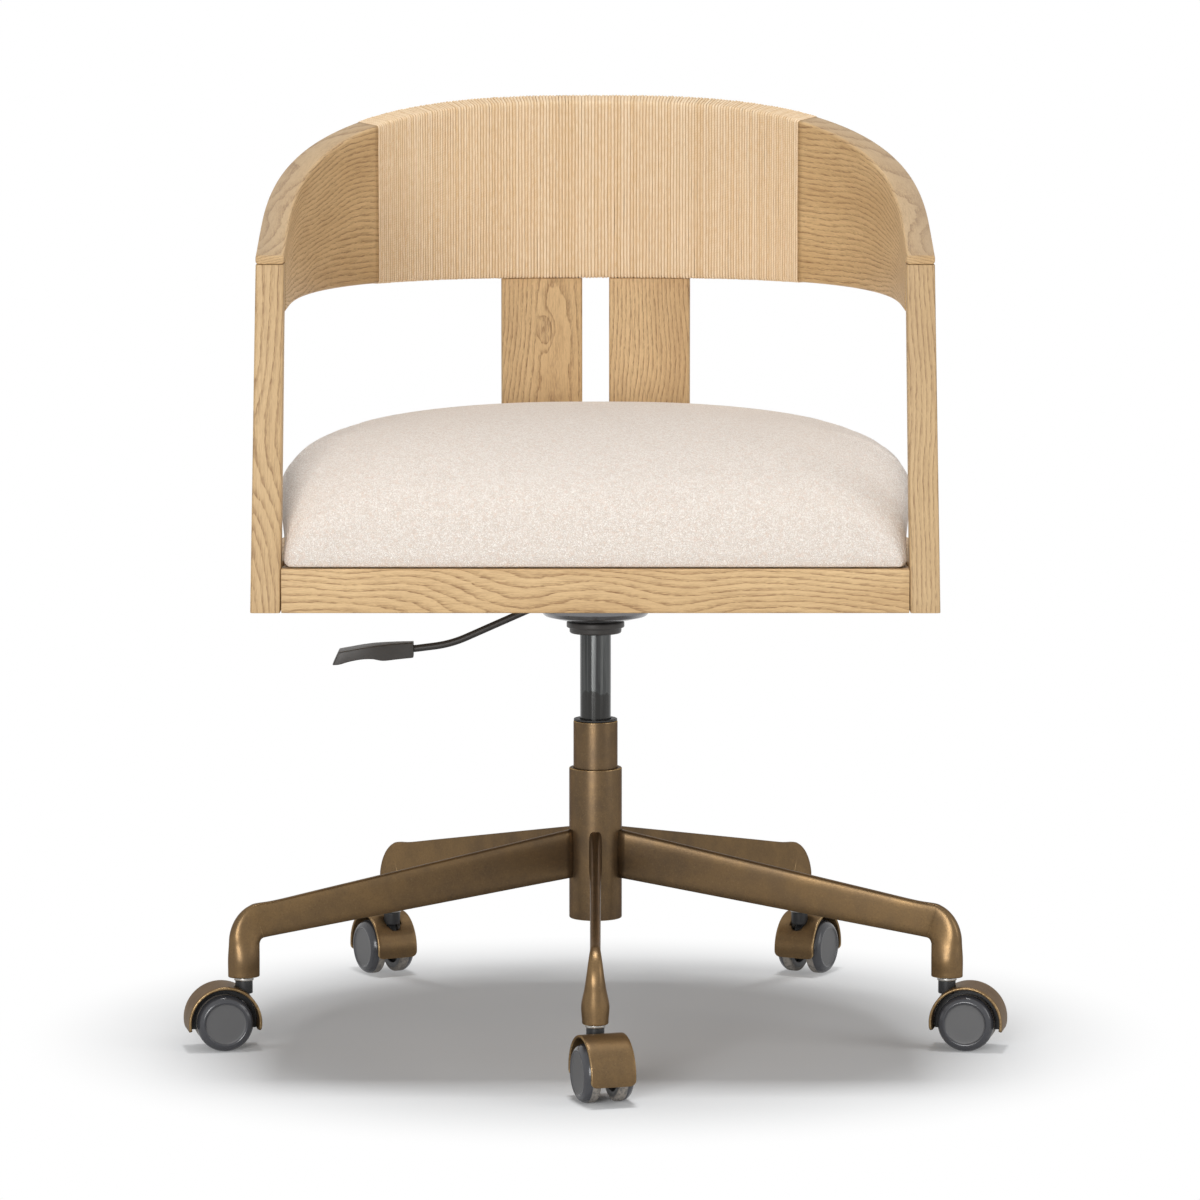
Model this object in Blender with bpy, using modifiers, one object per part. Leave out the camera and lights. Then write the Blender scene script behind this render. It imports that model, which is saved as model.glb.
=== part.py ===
"""Desk chair: an oak barrel back wound with paper cord, a padded seat, a gas lift and a five-leg base.

Metres, +Z up. The front faces -Y. The floor is z = 0, and the origin is the middle of the footprint.
Every piece is placed from the column's axis, which an empty holds.
"""

import math

import bmesh
import bpy
import numpy as np
from mathutils import Matrix, Vector

# Clearances
GAP = 0.0003
SLIDE_GAP = 0.0003
WHEEL_GAP = 0.0005
CUT_MARGIN = 0.0100

# Column and hub
HUB_RADIUS = 0.0236
HUB_LOW = 0.0995
HUB_HEIGHT = 0.1360
HUB_FLOOR = 0.0105
HUB_FLOOR_HOLE = 0.0140
COLUMN_RADIUS = 0.01975
COLUMN_WALL = 0.0033
COLUMN_PLATE = 0.0030
COLUMN_RISE = 0.0422
BUSH_FLANGE = 0.0016
BUSH_LENGTH = 0.1450
FLANGE_INSET = 0.00025
BEARING_HEIGHT = 0.0058
BEARING_RADIUS = 0.0148

# Gas lift
TUBE_RADIUS = 0.01375
TUBE_WALL = 0.0022
TUBE_LID = 0.0070
LIFT_TRAVEL = 0.0700
GLAND_HEIGHT = 0.0060
ROD_RADIUS = 0.0050
ROD_SHOULDER_RADIUS = 0.0090
ROD_SHOULDER = 0.0022
ROD_HEAD = 0.0080
CLIP_RADIUS = 0.0110
CLIP_HEIGHT = 0.0020
ROD_TAIL = 0.0030
PIN_RADIUS = 0.0025
PIN_PROUD = 0.0035
PIN_LENGTH = 0.0200

# Castors
WHEEL_RADIUS = 0.0250
WHEEL_WIDTH = 0.0145
WHEEL_SPACE = 0.0160
WHEEL_BEVEL = 0.0055
WHEEL_DISH = 0.0013
WHEEL_RIM = 0.0083
WHEEL_RECESS = 0.0060
BOSS_RADIUS = 0.0065
BOSS_GAP = 0.0005
AXLE_RADIUS = 0.0030
AXLE_DEPTH = 0.0105
TRAIL = 0.0190
HOOD_SPACE = 0.0049
HOOD_WALL = 0.0026
HOOD_WIDTH = 0.0400
HOOD_DROP = 0.0075
WEB_THICKNESS = 0.0060
WEB_DROP = 0.0070
HOUSING_RADIUS = 0.0077
HOUSING_SPACE = 0.0010
HOUSING_HEIGHT = 0.0115
STEM_RADIUS = 0.0055
STEM_FLOOR = 0.0018
STEM_LENGTH = 0.0420
WASHER_RADIUS = 0.0100
WASHER_HEIGHT = 0.0027
HEADINGS = {1: -72.0, 2: -11.0, 3: 63.0, 4: 117.0, 5: 191.0}

# Legs
LEG_COUNT = 5
HUB_STEPS = 32
CASTOR_CIRCLE = 0.3260
LEG_ABOVE_HUB_LOW = 0.0372
LEG_HUB_HEIGHT = 0.0436
LEG_HUB_WIDTH = 0.0098
LEG_BEND_SETBACK = 0.0175
LEG_BEND_RISE = 0.0342
LEG_BEND_HEIGHT = 0.0310
LEG_BEND_WIDTH = 0.0090
LEG_BEND_SINK = 0.0020
LEG_START_SINK = 0.0030
LEG_END_INSET = 0.0008
BOOT_DEPTH = 0.0282
BOOT_WIDTH = 0.0240
BOOT_FOOT_WIDTH = 0.0226
BOOT_NECK = 0.80
BOOT_HEIGHT = 0.0157

# Oak frame
FRAME_LOW = 0.4060
RAIL_HEIGHT = 0.0375
FRONT = -0.2700
POST_DEPTH = 0.0250
POST_SPLAY = 0.0065
POST_FOOT_WIDTH = 0.0255
POST_HEAD_OUT = 0.2865
POST_HEAD_WIDTH = 0.0240
EDGE_CHAMFER = 0.0020
FRONT_RAIL_DEPTH = 0.0240
SEAT_RAIL_INSET = 0.0020
SEAT_RAIL_WALL = 0.0240
CURVE_START = -0.2000
CURVE_POWER = 2.7
BACK_REACH = 0.2400
BACK_WALL = 0.0240
BACK_FRONT_HEIGHT = 0.0500
BACK_FRONT_TOP = 0.7100
BACK_SLOPE = 0.230
BACK_CHAMFER = 0.0025
POST_LIP = 0.0080
SPLAT_WIDTH = 0.0743
SPLAT_THICK = 0.0160
SPLAT_SPACE = 0.0245

# Winding of paper cord
CORD_RADIUS = 0.0013
CORD_SINK = 0.0022
WRAP_START = 61.0
WRAP_END = 122.0
WRAP_MARGIN = 1.1
BED_STEPS = 20
LOOP_COUNT = 24
CORNER_STEPS = 3
LONG_RUN_STEPS = 2
SHORT_RUN_STEPS = 1

# Seat
BOARD_THICK = 0.0120
CUSHION_SIDE_SPACE = 0.0018
CUSHION_FRONT_INSET = 0.0016
CUSHION_BACK_INSET = 0.0160
CUSHION_CORNER = 0.0160
CUSHION_POST_LEAN = 0.0041
CUSHION_CROWN = 0.1215
PLATE_SIZE = 0.1800
PLATE_THICK = 0.0030

# Mechanism
DISH_RADIUS = 0.0500
DISH_WALL = 0.0025
DISH_CONE_REACH = 0.0455
DISH_CONE_RISE = 0.0047
DISH_EDGE_INSET = 0.0008
DISH_EDGE_RISE = 0.0088
DISH_SIDE_RISE = 0.0152
DISH_BELOW_FRAME = 0.0384
SOCKET_WALL = 0.0040
SOCKET_DEPTH = 0.0169
COLLAR_RADIUS = 0.0258
COLLAR_HEIGHT = 0.0056
RING_RADIUS = 0.0232
RING_HEIGHT = 0.0053
PIVOT_X = -0.0300
LEVER_WIDTH = 0.0100
LEVER_BLOCK = 0.0064
LEVER_ROD_RADIUS = 0.0032
LEVER_PIN_RADIUS = 0.0020
LUG_THICK = 0.0030
LUG_GAP = 0.0006
LUG_LENGTH = 0.0120
LEVER_REACH = 0.0990
LEVER_DROP = 0.0452
BEND_REACH = 0.0140
PADDLE_SETBACK = 0.0334
PADDLE_STEP = 0.0040
PADDLE_SOCKET = 0.0220
PADDLE_SOCKET_MARGIN = 0.0080
PADDLE_SECTIONS = (
    (0.0000, 0.0060, 0.0000, -0.0077, 0.0140),
    (0.0135, 0.0054, 0.0135, -0.0088, 0.0185),
    (0.0270, 0.0044, 0.0270, -0.0098, 0.0250),
    (0.0365, 0.0034, 0.0365, -0.0081, 0.0290),
    (0.0462, 0.0020, 0.0462, -0.0083, 0.0310),
    (0.0560, 0.0002, 0.0570, -0.0103, 0.0312),
    (0.0625, -0.0009, 0.0655, -0.0128, 0.0308),
    (0.0671, -0.0017, 0.0719, -0.0135, 0.0290),
)
LEVER_START_SETBACK = 0.0040
LEVER_START_DROP = 0.0030
LEVER_START_OVERLAP = 0.0030
LEVER_END_DROP = 0.0020
SLOT_BELOW = 0.0045
SLOT_ABOVE = 0.0095
SLOT_SIDE = 0.0010

# Castor heights
AXLE_HEIGHT = WHEEL_RADIUS
HOOD_RADIUS = WHEEL_RADIUS + HOOD_SPACE + HOOD_WALL
HOUSING_LOW = AXLE_HEIGHT + math.sqrt((WHEEL_RADIUS + HOUSING_SPACE) ** 2 - (TRAIL - HOUSING_RADIUS) ** 2)
HOUSING_TOP = HOUSING_LOW + HOUSING_HEIGHT
BOOT_LOW = HOUSING_TOP + WASHER_HEIGHT + 2 * GAP

# Leg outline
LEG_HUB_LOW = HUB_LOW + LEG_ABOVE_HUB_LOW
LEG_HUB_TOP = LEG_HUB_LOW + LEG_HUB_HEIGHT
LEG_BEND_REACH = CASTOR_CIRCLE - LEG_BEND_SETBACK
LEG_BEND_LOW = BOOT_LOW + LEG_BEND_RISE
LEG_BEND_TOP = LEG_BEND_LOW + LEG_BEND_HEIGHT

# Column heights
HUB_TOP = HUB_LOW + HUB_HEIGHT
COLUMN_TOP = HUB_TOP + COLUMN_RISE
PLATE_LOW = HUB_LOW + HUB_FLOOR + GAP
BEARING_LOW = PLATE_LOW + COLUMN_PLATE + GAP
SHOULDER_LOW = BEARING_LOW + BEARING_HEIGHT + GAP
TUBE_LOW = SHOULDER_LOW + ROD_SHOULDER + GAP + LIFT_TRAVEL
HEAD_LOW = TUBE_LOW + GLAND_HEIGHT + GAP
DISH_LOW = FRAME_LOW - DISH_BELOW_FRAME
TUBE_TOP = DISH_LOW + SOCKET_DEPTH
PIN_TOP = TUBE_TOP + PIN_PROUD

# Seat and lever places
FRAME_TOP = FRAME_LOW + RAIL_HEIGHT
BACK_LOW = BACK_FRONT_TOP - BACK_FRONT_HEIGHT
POST_TOP = BACK_FRONT_TOP - POST_LIP
POST_FOOT_OUT = POST_HEAD_OUT + POST_SPLAY
SEAT_RAIL_OUT = POST_FOOT_OUT - SEAT_RAIL_INSET
SEAT_RAIL_BACK = BACK_REACH - (BACK_WALL + SPLAT_THICK) / 2 - GAP
BOARD_LOW = FRAME_TOP - BOARD_THICK
PLATE_TOP = BOARD_LOW - GAP
PLATE_UNDER = PLATE_TOP - PLATE_THICK
PIVOT_Z = PIN_TOP + GAP + LEVER_BLOCK / 2
BEND_X = PIVOT_X - LEVER_REACH
BEND_Z = PIVOT_Z - LEVER_DROP
PADDLE_ROOT_X = BEND_X - PADDLE_SETBACK
PADDLE_ROOT_Z = BEND_Z - PADDLE_STEP


def footprint_middle():
    """Distance of the column's axis behind the middle of the footprint, from the castors' reach."""
    reaches = []
    for number, heading in HEADINGS.items():
        stem = leg_angle(number)
        turn = math.radians(heading)
        along = CASTOR_CIRCLE * math.sin(stem) + TRAIL * math.sin(turn)
        spread = HOOD_RADIUS * abs(math.sin(turn)) + HOOD_WIDTH / 2 * abs(math.cos(turn))
        reaches.append((along - spread, along + spread))
    return -(min(r[0] for r in reaches) + max(r[1] for r in reaches)) / 2


def leg_angle(number):
    """Direction of a leg in plan: leg 1 points to the front."""
    return math.radians(-90 + 360 / LEG_COUNT * (number - 1))


# Scene helpers
def clear_scene():
    for item in list(bpy.data.objects):
        bpy.data.objects.remove(item, do_unlink=True)


def make_collection(name):
    group = bpy.data.collections.new(name)
    bpy.context.scene.collection.children.link(group)
    return group


def material(name, colour, roughness, metallic=0.0):
    mat = bpy.data.materials.new(name)
    mat.use_nodes = True
    shader = mat.node_tree.nodes["Principled BSDF"]
    shader.inputs["Base Color"].default_value = (*colour, 1.0)
    shader.inputs["Roughness"].default_value = roughness
    shader.inputs["Metallic"].default_value = metallic
    return mat


def add_object(name, mesh, mat, parent, location=(0, 0, 0), turn=(0, 0, 0)):
    item = bpy.data.objects.new(name, mesh)
    PARTS.objects.link(item)
    item.parent = parent
    item.location = location
    item.rotation_euler = turn
    if mat:
        mesh.materials.append(mat)
    return item


def add_empty(name, parent=None, location=(0, 0, 0), turn=(0, 0, 0)):
    item = bpy.data.objects.new(name, None)
    PARTS.objects.link(item)
    item.parent = parent
    item.location = location
    item.rotation_euler = turn
    return item


def mesh_from(build, name):
    """A mesh made by a function that fills a bmesh."""
    mesh = bpy.data.meshes.new(name)
    work = bmesh.new()
    build(work)
    work.to_mesh(mesh)
    work.free()
    return mesh


def smooth(mesh, degrees=35):
    mesh.shade_smooth()
    mesh.set_sharp_from_angle(angle=math.radians(degrees))


def box_mesh(name, low, high):
    size = Vector(high) - Vector(low)
    centre = (Vector(high) + Vector(low)) / 2
    place = Matrix.Translation(centre) @ Matrix.Diagonal((*size, 1.0))
    return mesh_from(lambda work: bmesh.ops.create_cube(work, size=1.0, matrix=place), name)


def cylinder_mesh(name, radius, low, high, steps):
    place = Matrix.Translation((0, 0, (low + high) / 2))
    return mesh_from(
        lambda work: bmesh.ops.create_cone(
            work, cap_ends=True, segments=steps, radius1=radius, radius2=radius,
            depth=high - low, matrix=place),
        name)


def loft_mesh(name, rings):
    """A closed skin through rings of equal point counts, capped by a flat face at each end."""
    def build(work):
        rows = [[work.verts.new(point) for point in ring] for ring in rings]
        count = len(rows[0])
        for lower, upper in zip(rows, rows[1:]):
            for k in range(count):
                work.faces.new((lower[k], lower[(k + 1) % count], upper[(k + 1) % count], upper[k]))
        work.faces.new(rows[0])
        work.faces.new(rows[-1])
        bmesh.ops.recalc_face_normals(work, faces=work.faces)
    return mesh_from(build, name)


def turned(name, profile, mat, parent, steps, closed=True, location=(0, 0, 0), turn=(0, 0, 0)):
    """A turned piece: a profile in x (radius) and z, down its outer side, swept by a Screw modifier."""
    mesh = bpy.data.meshes.new(name)
    edges = [(k, k + 1) for k in range(len(profile) - 1)]
    if closed:
        edges.append((len(profile) - 1, 0))
    mesh.from_pydata([(radius, 0, height) for radius, height in profile], edges, [])
    item = add_object(name, mesh, mat, parent, location, turn)
    screw = item.modifiers.new("Screw", "SCREW")
    screw.axis = "Z"
    screw.angle = math.tau
    screw.steps = steps
    screw.render_steps = steps
    screw.use_merge_vertices = True
    screw.merge_threshold = 0.00005
    screw.use_smooth_shade = False
    return item


def ring_profile(inner, outer, low, high):
    return [(inner, high), (outer, high), (outer, low), (inner, low)]


def add_cutter(name, mesh, parent, location=(0, 0, 0), turn=(0, 0, 0)):
    item = bpy.data.objects.new(name, mesh)
    CUTTERS.objects.link(item)
    item.parent = parent
    item.location = location
    item.rotation_euler = turn
    item.hide_render = True
    item.display_type = "WIRE"
    return item


def combine(item, other, operation):
    boolean = item.modifiers.new(operation.title(), "BOOLEAN")
    boolean.operation = operation
    boolean.object = other
    boolean.solver = "EXACT"


def curve_to_mesh(curve_item, name):
    """The welded mesh of a curve's tube, which then takes the curve's place."""
    bpy.context.view_layer.update()
    graph = bpy.context.evaluated_depsgraph_get()
    mesh = bpy.data.meshes.new_from_object(curve_item.evaluated_get(graph))
    mesh.name = name
    work = bmesh.new()
    work.from_mesh(mesh)
    bmesh.ops.remove_doubles(work, verts=work.verts, dist=0.00001)
    bmesh.ops.recalc_face_normals(work, faces=work.faces)
    work.to_mesh(mesh)
    work.free()
    bpy.data.objects.remove(curve_item, do_unlink=True)
    return mesh


def tube_mesh(name, points, radius, resolution):
    curve = bpy.data.curves.new(name, "CURVE")
    curve.dimensions = "3D"
    curve.bevel_depth = radius
    curve.bevel_resolution = resolution
    curve.use_fill_caps = True
    spline = curve.splines.new("POLY")
    spline.points.add(len(points) - 1)
    for point, place in zip(spline.points, points):
        point.co = (*place, 1.0)
    item = bpy.data.objects.new(name, curve)
    PARTS.objects.link(item)
    return curve_to_mesh(item, name)


# Column, from the hub up to the gas lift
def build_hub():
    bore = COLUMN_RADIUS + GAP
    floor = HUB_LOW + HUB_FLOOR
    edge = 0.0012
    profile = [
        (bore, HUB_TOP), (HUB_RADIUS - edge, HUB_TOP), (HUB_RADIUS, HUB_TOP - edge),
        (HUB_RADIUS, HUB_LOW + edge), (HUB_RADIUS - edge, HUB_LOW), (HUB_FLOOR_HOLE, HUB_LOW),
        (HUB_FLOOR_HOLE, floor), (bore, floor),
    ]
    turned("hub", profile, BRONZE, BASE, HUB_STEPS)


def build_column_tube():
    inner = COLUMN_RADIUS - COLUMN_WALL
    hole = ROD_RADIUS + SLIDE_GAP
    plate_top = PLATE_LOW + COLUMN_PLATE
    profile = [
        (inner, COLUMN_TOP), (COLUMN_RADIUS, COLUMN_TOP), (COLUMN_RADIUS, PLATE_LOW),
        (hole, PLATE_LOW), (hole, plate_top), (inner, plate_top),
    ]
    turned("column_tube", profile, BRONZE, BASE, 28)


def build_column_bush():
    bore = TUBE_RADIUS + SLIDE_GAP
    sleeve = COLUMN_RADIUS - COLUMN_WALL - GAP
    flange = COLUMN_RADIUS - FLANGE_INSET
    low = COLUMN_TOP - BUSH_LENGTH
    seat = COLUMN_TOP + GAP
    profile = [
        (bore, seat + BUSH_FLANGE), (flange, seat + BUSH_FLANGE), (flange, seat),
        (sleeve, seat), (sleeve, low), (bore, low),
    ]
    turned("column_bush", profile, DARK_NYLON, BASE, 24)


def build_thrust_bearing():
    bore = ROD_RADIUS + SLIDE_GAP
    profile = ring_profile(bore, BEARING_RADIUS, BEARING_LOW, BEARING_LOW + BEARING_HEIGHT)
    turned("thrust_bearing", profile, STEEL, BASE, 20)


def build_piston_rod():
    """Thin rod: a tail below the column's plate, a shoulder on the bearing, a head inside the tube."""
    shoulder_top = SHOULDER_LOW + ROD_SHOULDER
    head_radius = TUBE_RADIUS - TUBE_WALL - SLIDE_GAP
    tail = PLATE_LOW - 2 * GAP - CLIP_HEIGHT - ROD_TAIL
    profile = [
        (0, HEAD_LOW + ROD_HEAD), (head_radius, HEAD_LOW + ROD_HEAD), (head_radius, HEAD_LOW),
        (ROD_RADIUS, HEAD_LOW), (ROD_RADIUS, shoulder_top), (ROD_SHOULDER_RADIUS, shoulder_top),
        (ROD_SHOULDER_RADIUS, SHOULDER_LOW), (ROD_RADIUS, SHOULDER_LOW), (ROD_RADIUS, tail), (0, tail),
    ]
    turned("piston_rod", profile, STEEL, PISTON, 20, closed=False)
    top = PLATE_LOW - GAP
    clip = ring_profile(ROD_RADIUS + GAP, CLIP_RADIUS, top - CLIP_HEIGHT, top)
    turned("rod_clip", clip, STEEL, PISTON, 20)


def build_pressure_tube():
    inner = TUBE_RADIUS - TUBE_WALL
    gland = ROD_RADIUS + SLIDE_GAP
    port = PIN_RADIUS + SLIDE_GAP
    gland_top = TUBE_LOW + GLAND_HEIGHT
    lid_low = TUBE_TOP - TUBE_LID
    profile = [
        (port, TUBE_TOP), (TUBE_RADIUS, TUBE_TOP), (TUBE_RADIUS, TUBE_LOW),
        (gland, TUBE_LOW), (gland, gland_top), (inner, gland_top), (inner, lid_low), (port, lid_low),
    ]
    turned("pressure_tube", profile, GUNMETAL, SEAT, 24)


def build_release_pin():
    mesh = cylinder_mesh("release_pin", PIN_RADIUS, PIN_TOP - PIN_LENGTH, PIN_TOP, 16)
    smooth(mesh)
    add_object("release_pin", mesh, STEEL, RELEASE)


# Legs
def leg_sections():
    """Inner and outer edge points (reach, height), half width and roundness of each section of a leg."""
    sections = []
    start = HUB_RADIUS - LEG_START_SINK
    for share in (0.0, 0.5, 1.0):
        reach = start + (LEG_BEND_REACH - start) * share
        low = LEG_HUB_LOW + (LEG_BEND_LOW - LEG_HUB_LOW) * share
        top = LEG_HUB_TOP + (LEG_BEND_TOP - LEG_HUB_TOP) * share
        width = LEG_HUB_WIDTH + (LEG_BEND_WIDTH - LEG_HUB_WIDTH) * share
        sections.append(((reach, low), (reach, top), width / 2, 4.0))
    boot_in = CASTOR_CIRCLE - BOOT_DEPTH / 2
    boot_out = CASTOR_CIRCLE + BOOT_DEPTH / 2
    neck = BOOT_WIDTH / 2 * BOOT_NECK
    boot_top = BOOT_LOW + BOOT_HEIGHT
    turns = 5
    for k in range(1, turns + 1):
        share = k / turns
        angle = math.radians(90 * share)
        inner = (LEG_BEND_REACH + (boot_in - LEG_BEND_REACH) * share, LEG_BEND_LOW - LEG_BEND_SINK * share)
        reach = LEG_BEND_REACH + (boot_out - LEG_END_INSET - LEG_BEND_REACH) * math.sin(angle)
        height = inner[1] + LEG_BEND_HEIGHT * math.cos(angle)
        width = LEG_BEND_WIDTH / 2 + (neck - LEG_BEND_WIDTH / 2) * share ** 1.3
        sections.append((inner, (reach, height), width, 4.0 - 1.7 * share))
    sections.append(((boot_in, boot_top), (boot_out, boot_top), BOOT_WIDTH / 2, 2.1))
    sections.append(((boot_in, BOOT_LOW), (boot_out, BOOT_LOW), BOOT_FOOT_WIDTH / 2, 2.0))
    return sections


def leg_rings(count=12):
    """Superellipse rings: the power falls from a rounded bar at the hub to a circle at the boot."""
    rings = []
    for inner, outer, width, power in leg_sections():
        middle = ((inner[0] + outer[0]) / 2, (inner[1] + outer[1]) / 2)
        half = ((outer[0] - inner[0]) / 2, (outer[1] - inner[1]) / 2)
        ring = []
        for k in range(count):
            angle = math.tau * (k + 0.5) / count
            cosine = math.cos(angle)
            sine = math.sin(angle)
            along = math.copysign(abs(cosine) ** (2 / power), cosine)
            across = math.copysign(abs(sine) ** (2 / power), sine)
            ring.append((middle[0] + half[0] * along, width * across, middle[1] + half[1] * along))
        rings.append(ring)
    return rings


def build_legs():
    low = HUB_LOW - CUT_MARGIN
    high = HUB_TOP + CUT_MARGIN
    hub_cutter = add_cutter("hub_cut", cylinder_mesh("hub_cut", HUB_RADIUS + GAP, low, high, HUB_STEPS), BASE)
    socket = cylinder_mesh("stem_socket", STEM_RADIUS + GAP, -CUT_MARGIN, stem_top() + 2 * GAP - BOOT_LOW, 16)
    for number in range(1, LEG_COUNT + 1):
        mesh = loft_mesh(f"leg_{number}", leg_rings())
        smooth(mesh, 40)
        angle = leg_angle(number)
        leg = add_object(f"leg_{number}", mesh, BRONZE, BASE, turn=(0, 0, angle))
        combine(leg, hub_cutter, "DIFFERENCE")
        place = (CASTOR_CIRCLE * math.cos(angle), CASTOR_CIRCLE * math.sin(angle), BOOT_LOW)
        cutter = add_cutter(f"stem_socket_{number}", socket, BASE, location=place)
        combine(leg, cutter, "DIFFERENCE")


# Castors
def stem_low():
    return HOUSING_LOW + STEM_FLOOR + GAP


def stem_top():
    return stem_low() + STEM_LENGTH


def build_stem(number, place):
    washer_low = HOUSING_TOP + GAP
    washer_top = washer_low + WASHER_HEIGHT
    profile = [
        (0, stem_top()), (STEM_RADIUS, stem_top()), (STEM_RADIUS, washer_top),
        (WASHER_RADIUS, washer_top), (WASHER_RADIUS, washer_low), (STEM_RADIUS, washer_low),
        (STEM_RADIUS, stem_low()), (0, stem_low()),
    ]
    turned(f"caster_{number}_stem", profile, STEEL, BASE, 16, closed=False, location=place)


def build_core(number, swivel):
    """Dark nylon core: a web between the wheels under the stem's housing, bored for stem and axle."""
    radius = HOOD_RADIUS - HOOD_WALL - GAP
    low_angle = math.asin(WEB_DROP / radius)
    points = []
    steps = 12
    for k in range(steps + 1):
        angle = -low_angle + (math.pi + 2 * low_angle) * k / steps
        points.append((TRAIL + radius * math.cos(angle), AXLE_HEIGHT + radius * math.sin(angle)))
    half = WEB_THICKNESS / 2
    rings = [[(x, y, z) for x, z in points] for y in (-half, half)]
    mesh = loft_mesh(f"caster_{number}_core", rings)
    core = add_object(f"caster_{number}_core", mesh, DARK_NYLON, swivel)
    housing = cylinder_mesh(f"housing_{number}", HOUSING_RADIUS, HOUSING_LOW, HOUSING_TOP, 16)
    combine(core, add_cutter(f"housing_{number}", housing, swivel), "UNION")
    high = HOUSING_TOP + CUT_MARGIN
    bore = cylinder_mesh(f"stem_bore_{number}", STEM_RADIUS + GAP, stem_low() - GAP, high, 16)
    combine(core, add_cutter(f"stem_bore_{number}", bore, swivel), "DIFFERENCE")
    hole = cylinder_mesh(f"axle_bore_{number}", AXLE_RADIUS + GAP, -CUT_MARGIN, CUT_MARGIN, 16)
    cutter = add_cutter(f"axle_bore_{number}", hole, swivel, (TRAIL, 0, AXLE_HEIGHT), (math.pi / 2, 0, 0))
    combine(core, cutter, "DIFFERENCE")


def build_hood(number, swivel):
    """Bronze hood: a curved wall over both wheels, notched where the stem's housing rises through it."""
    low_angle = math.asin(HOOD_DROP / HOOD_RADIUS)
    steps = 14
    half = HOOD_WIDTH / 2
    rings = []
    for k in range(steps + 1):
        angle = -low_angle + (math.pi + 2 * low_angle) * k / steps
        ring = []
        for radius, y in ((HOOD_RADIUS, -half), (HOOD_RADIUS, half),
                          (HOOD_RADIUS - HOOD_WALL, half), (HOOD_RADIUS - HOOD_WALL, -half)):
            ring.append((TRAIL + radius * math.cos(angle), y, AXLE_HEIGHT + radius * math.sin(angle)))
        rings.append(ring)
    mesh = loft_mesh(f"caster_{number}_hood", rings)
    smooth(mesh)
    hood = add_object(f"caster_{number}_hood", mesh, BRONZE, swivel)
    notch = cylinder_mesh(f"notch_{number}", HOUSING_RADIUS + GAP, AXLE_HEIGHT, HOUSING_TOP + CUT_MARGIN, 16)
    combine(hood, add_cutter(f"notch_{number}", notch, swivel), "DIFFERENCE")


def wheel_profile():
    """Half section of a wheel: blind bore in a boss, recess, tread, wide bevel and a sunk outer disc."""
    bore = AXLE_RADIUS + GAP
    bore_end = AXLE_DEPTH + WHEEL_GAP
    disc = WHEEL_WIDTH - WHEEL_DISH
    recess = WHEEL_RADIUS - WHEEL_RIM
    boss = WEB_THICKNESS / 2 + BOSS_GAP - WHEEL_SPACE / 2
    return [
        (0, disc), (WHEEL_RADIUS * 0.70, disc), (WHEEL_RADIUS * 0.77, WHEEL_WIDTH),
        (WHEEL_RADIUS, WHEEL_WIDTH - WHEEL_BEVEL), (WHEEL_RADIUS, WHEEL_DISH), (WHEEL_RADIUS - WHEEL_DISH, 0),
        (recess, 0), (recess, WHEEL_RECESS), (BOSS_RADIUS, WHEEL_RECESS), (BOSS_RADIUS, boss), (bore, boss),
        (bore, bore_end), (0, bore_end),
    ]


def build_castor(number):
    angle = leg_angle(number)
    place = (CASTOR_CIRCLE * math.cos(angle), CASTOR_CIRCLE * math.sin(angle), 0)
    build_stem(number, place)
    swivel = add_empty(f"caster_{number}", BASE, place, (0, 0, math.radians(HEADINGS[number])))
    build_core(number, swivel)
    build_hood(number, swivel)
    reach = WHEEL_SPACE / 2 + AXLE_DEPTH
    mesh = cylinder_mesh(f"caster_{number}_axle", AXLE_RADIUS, -reach, reach, 16)
    smooth(mesh)
    add_object(f"caster_{number}_axle", mesh, STEEL, swivel, (TRAIL, 0, AXLE_HEIGHT), (math.pi / 2, 0, 0))
    for side, sign in (("left", 1), ("right", -1)):
        spin = add_empty(f"caster_{number}_{side}_spin", swivel, (TRAIL, 0, AXLE_HEIGHT))
        turned(f"caster_{number}_wheel_{side}", wheel_profile(), CHARCOAL, spin, 16, closed=False,
               location=(0, sign * WHEEL_SPACE / 2, 0), turn=(-sign * math.pi / 2, 0, 0))


# Oak frame
def plan_point(out, back, power_angle):
    """Point and outward normal on a plan curve: a superellipse behind straight sides.

    power_angle runs from 0 at the right side's start of the curve to pi at the left side's.
    """
    depth = back - CURVE_START
    cosine = math.cos(power_angle)
    sine = math.sin(power_angle)
    scale = (abs(cosine / out) ** CURVE_POWER + abs(sine / depth) ** CURVE_POWER) ** (-1 / CURVE_POWER)
    x = scale * cosine
    y = scale * sine
    across = math.copysign(abs(x / out) ** (CURVE_POWER - 1) / out, x)
    along = abs(y / depth) ** (CURVE_POWER - 1) / depth
    length = math.hypot(across, along)
    return Vector((x, CURVE_START + y, 0)), Vector((across / length, along / length, 0))


def rail_stations(out, back, front, angles):
    """Stations from the right front end, round the back, to the left front end."""
    right = [(Vector((out, front, 0)), Vector((1, 0, 0)))]
    left = [(Vector((-out, front, 0)), Vector((-1, 0, 0)))]
    curve = [plan_point(out, back, math.radians(angle)) for angle in angles]
    return right + curve + left


def top_height(y):
    """Height of the back rail's sloping top plane."""
    return BACK_FRONT_TOP + BACK_SLOPE * (y - FRONT)


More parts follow.
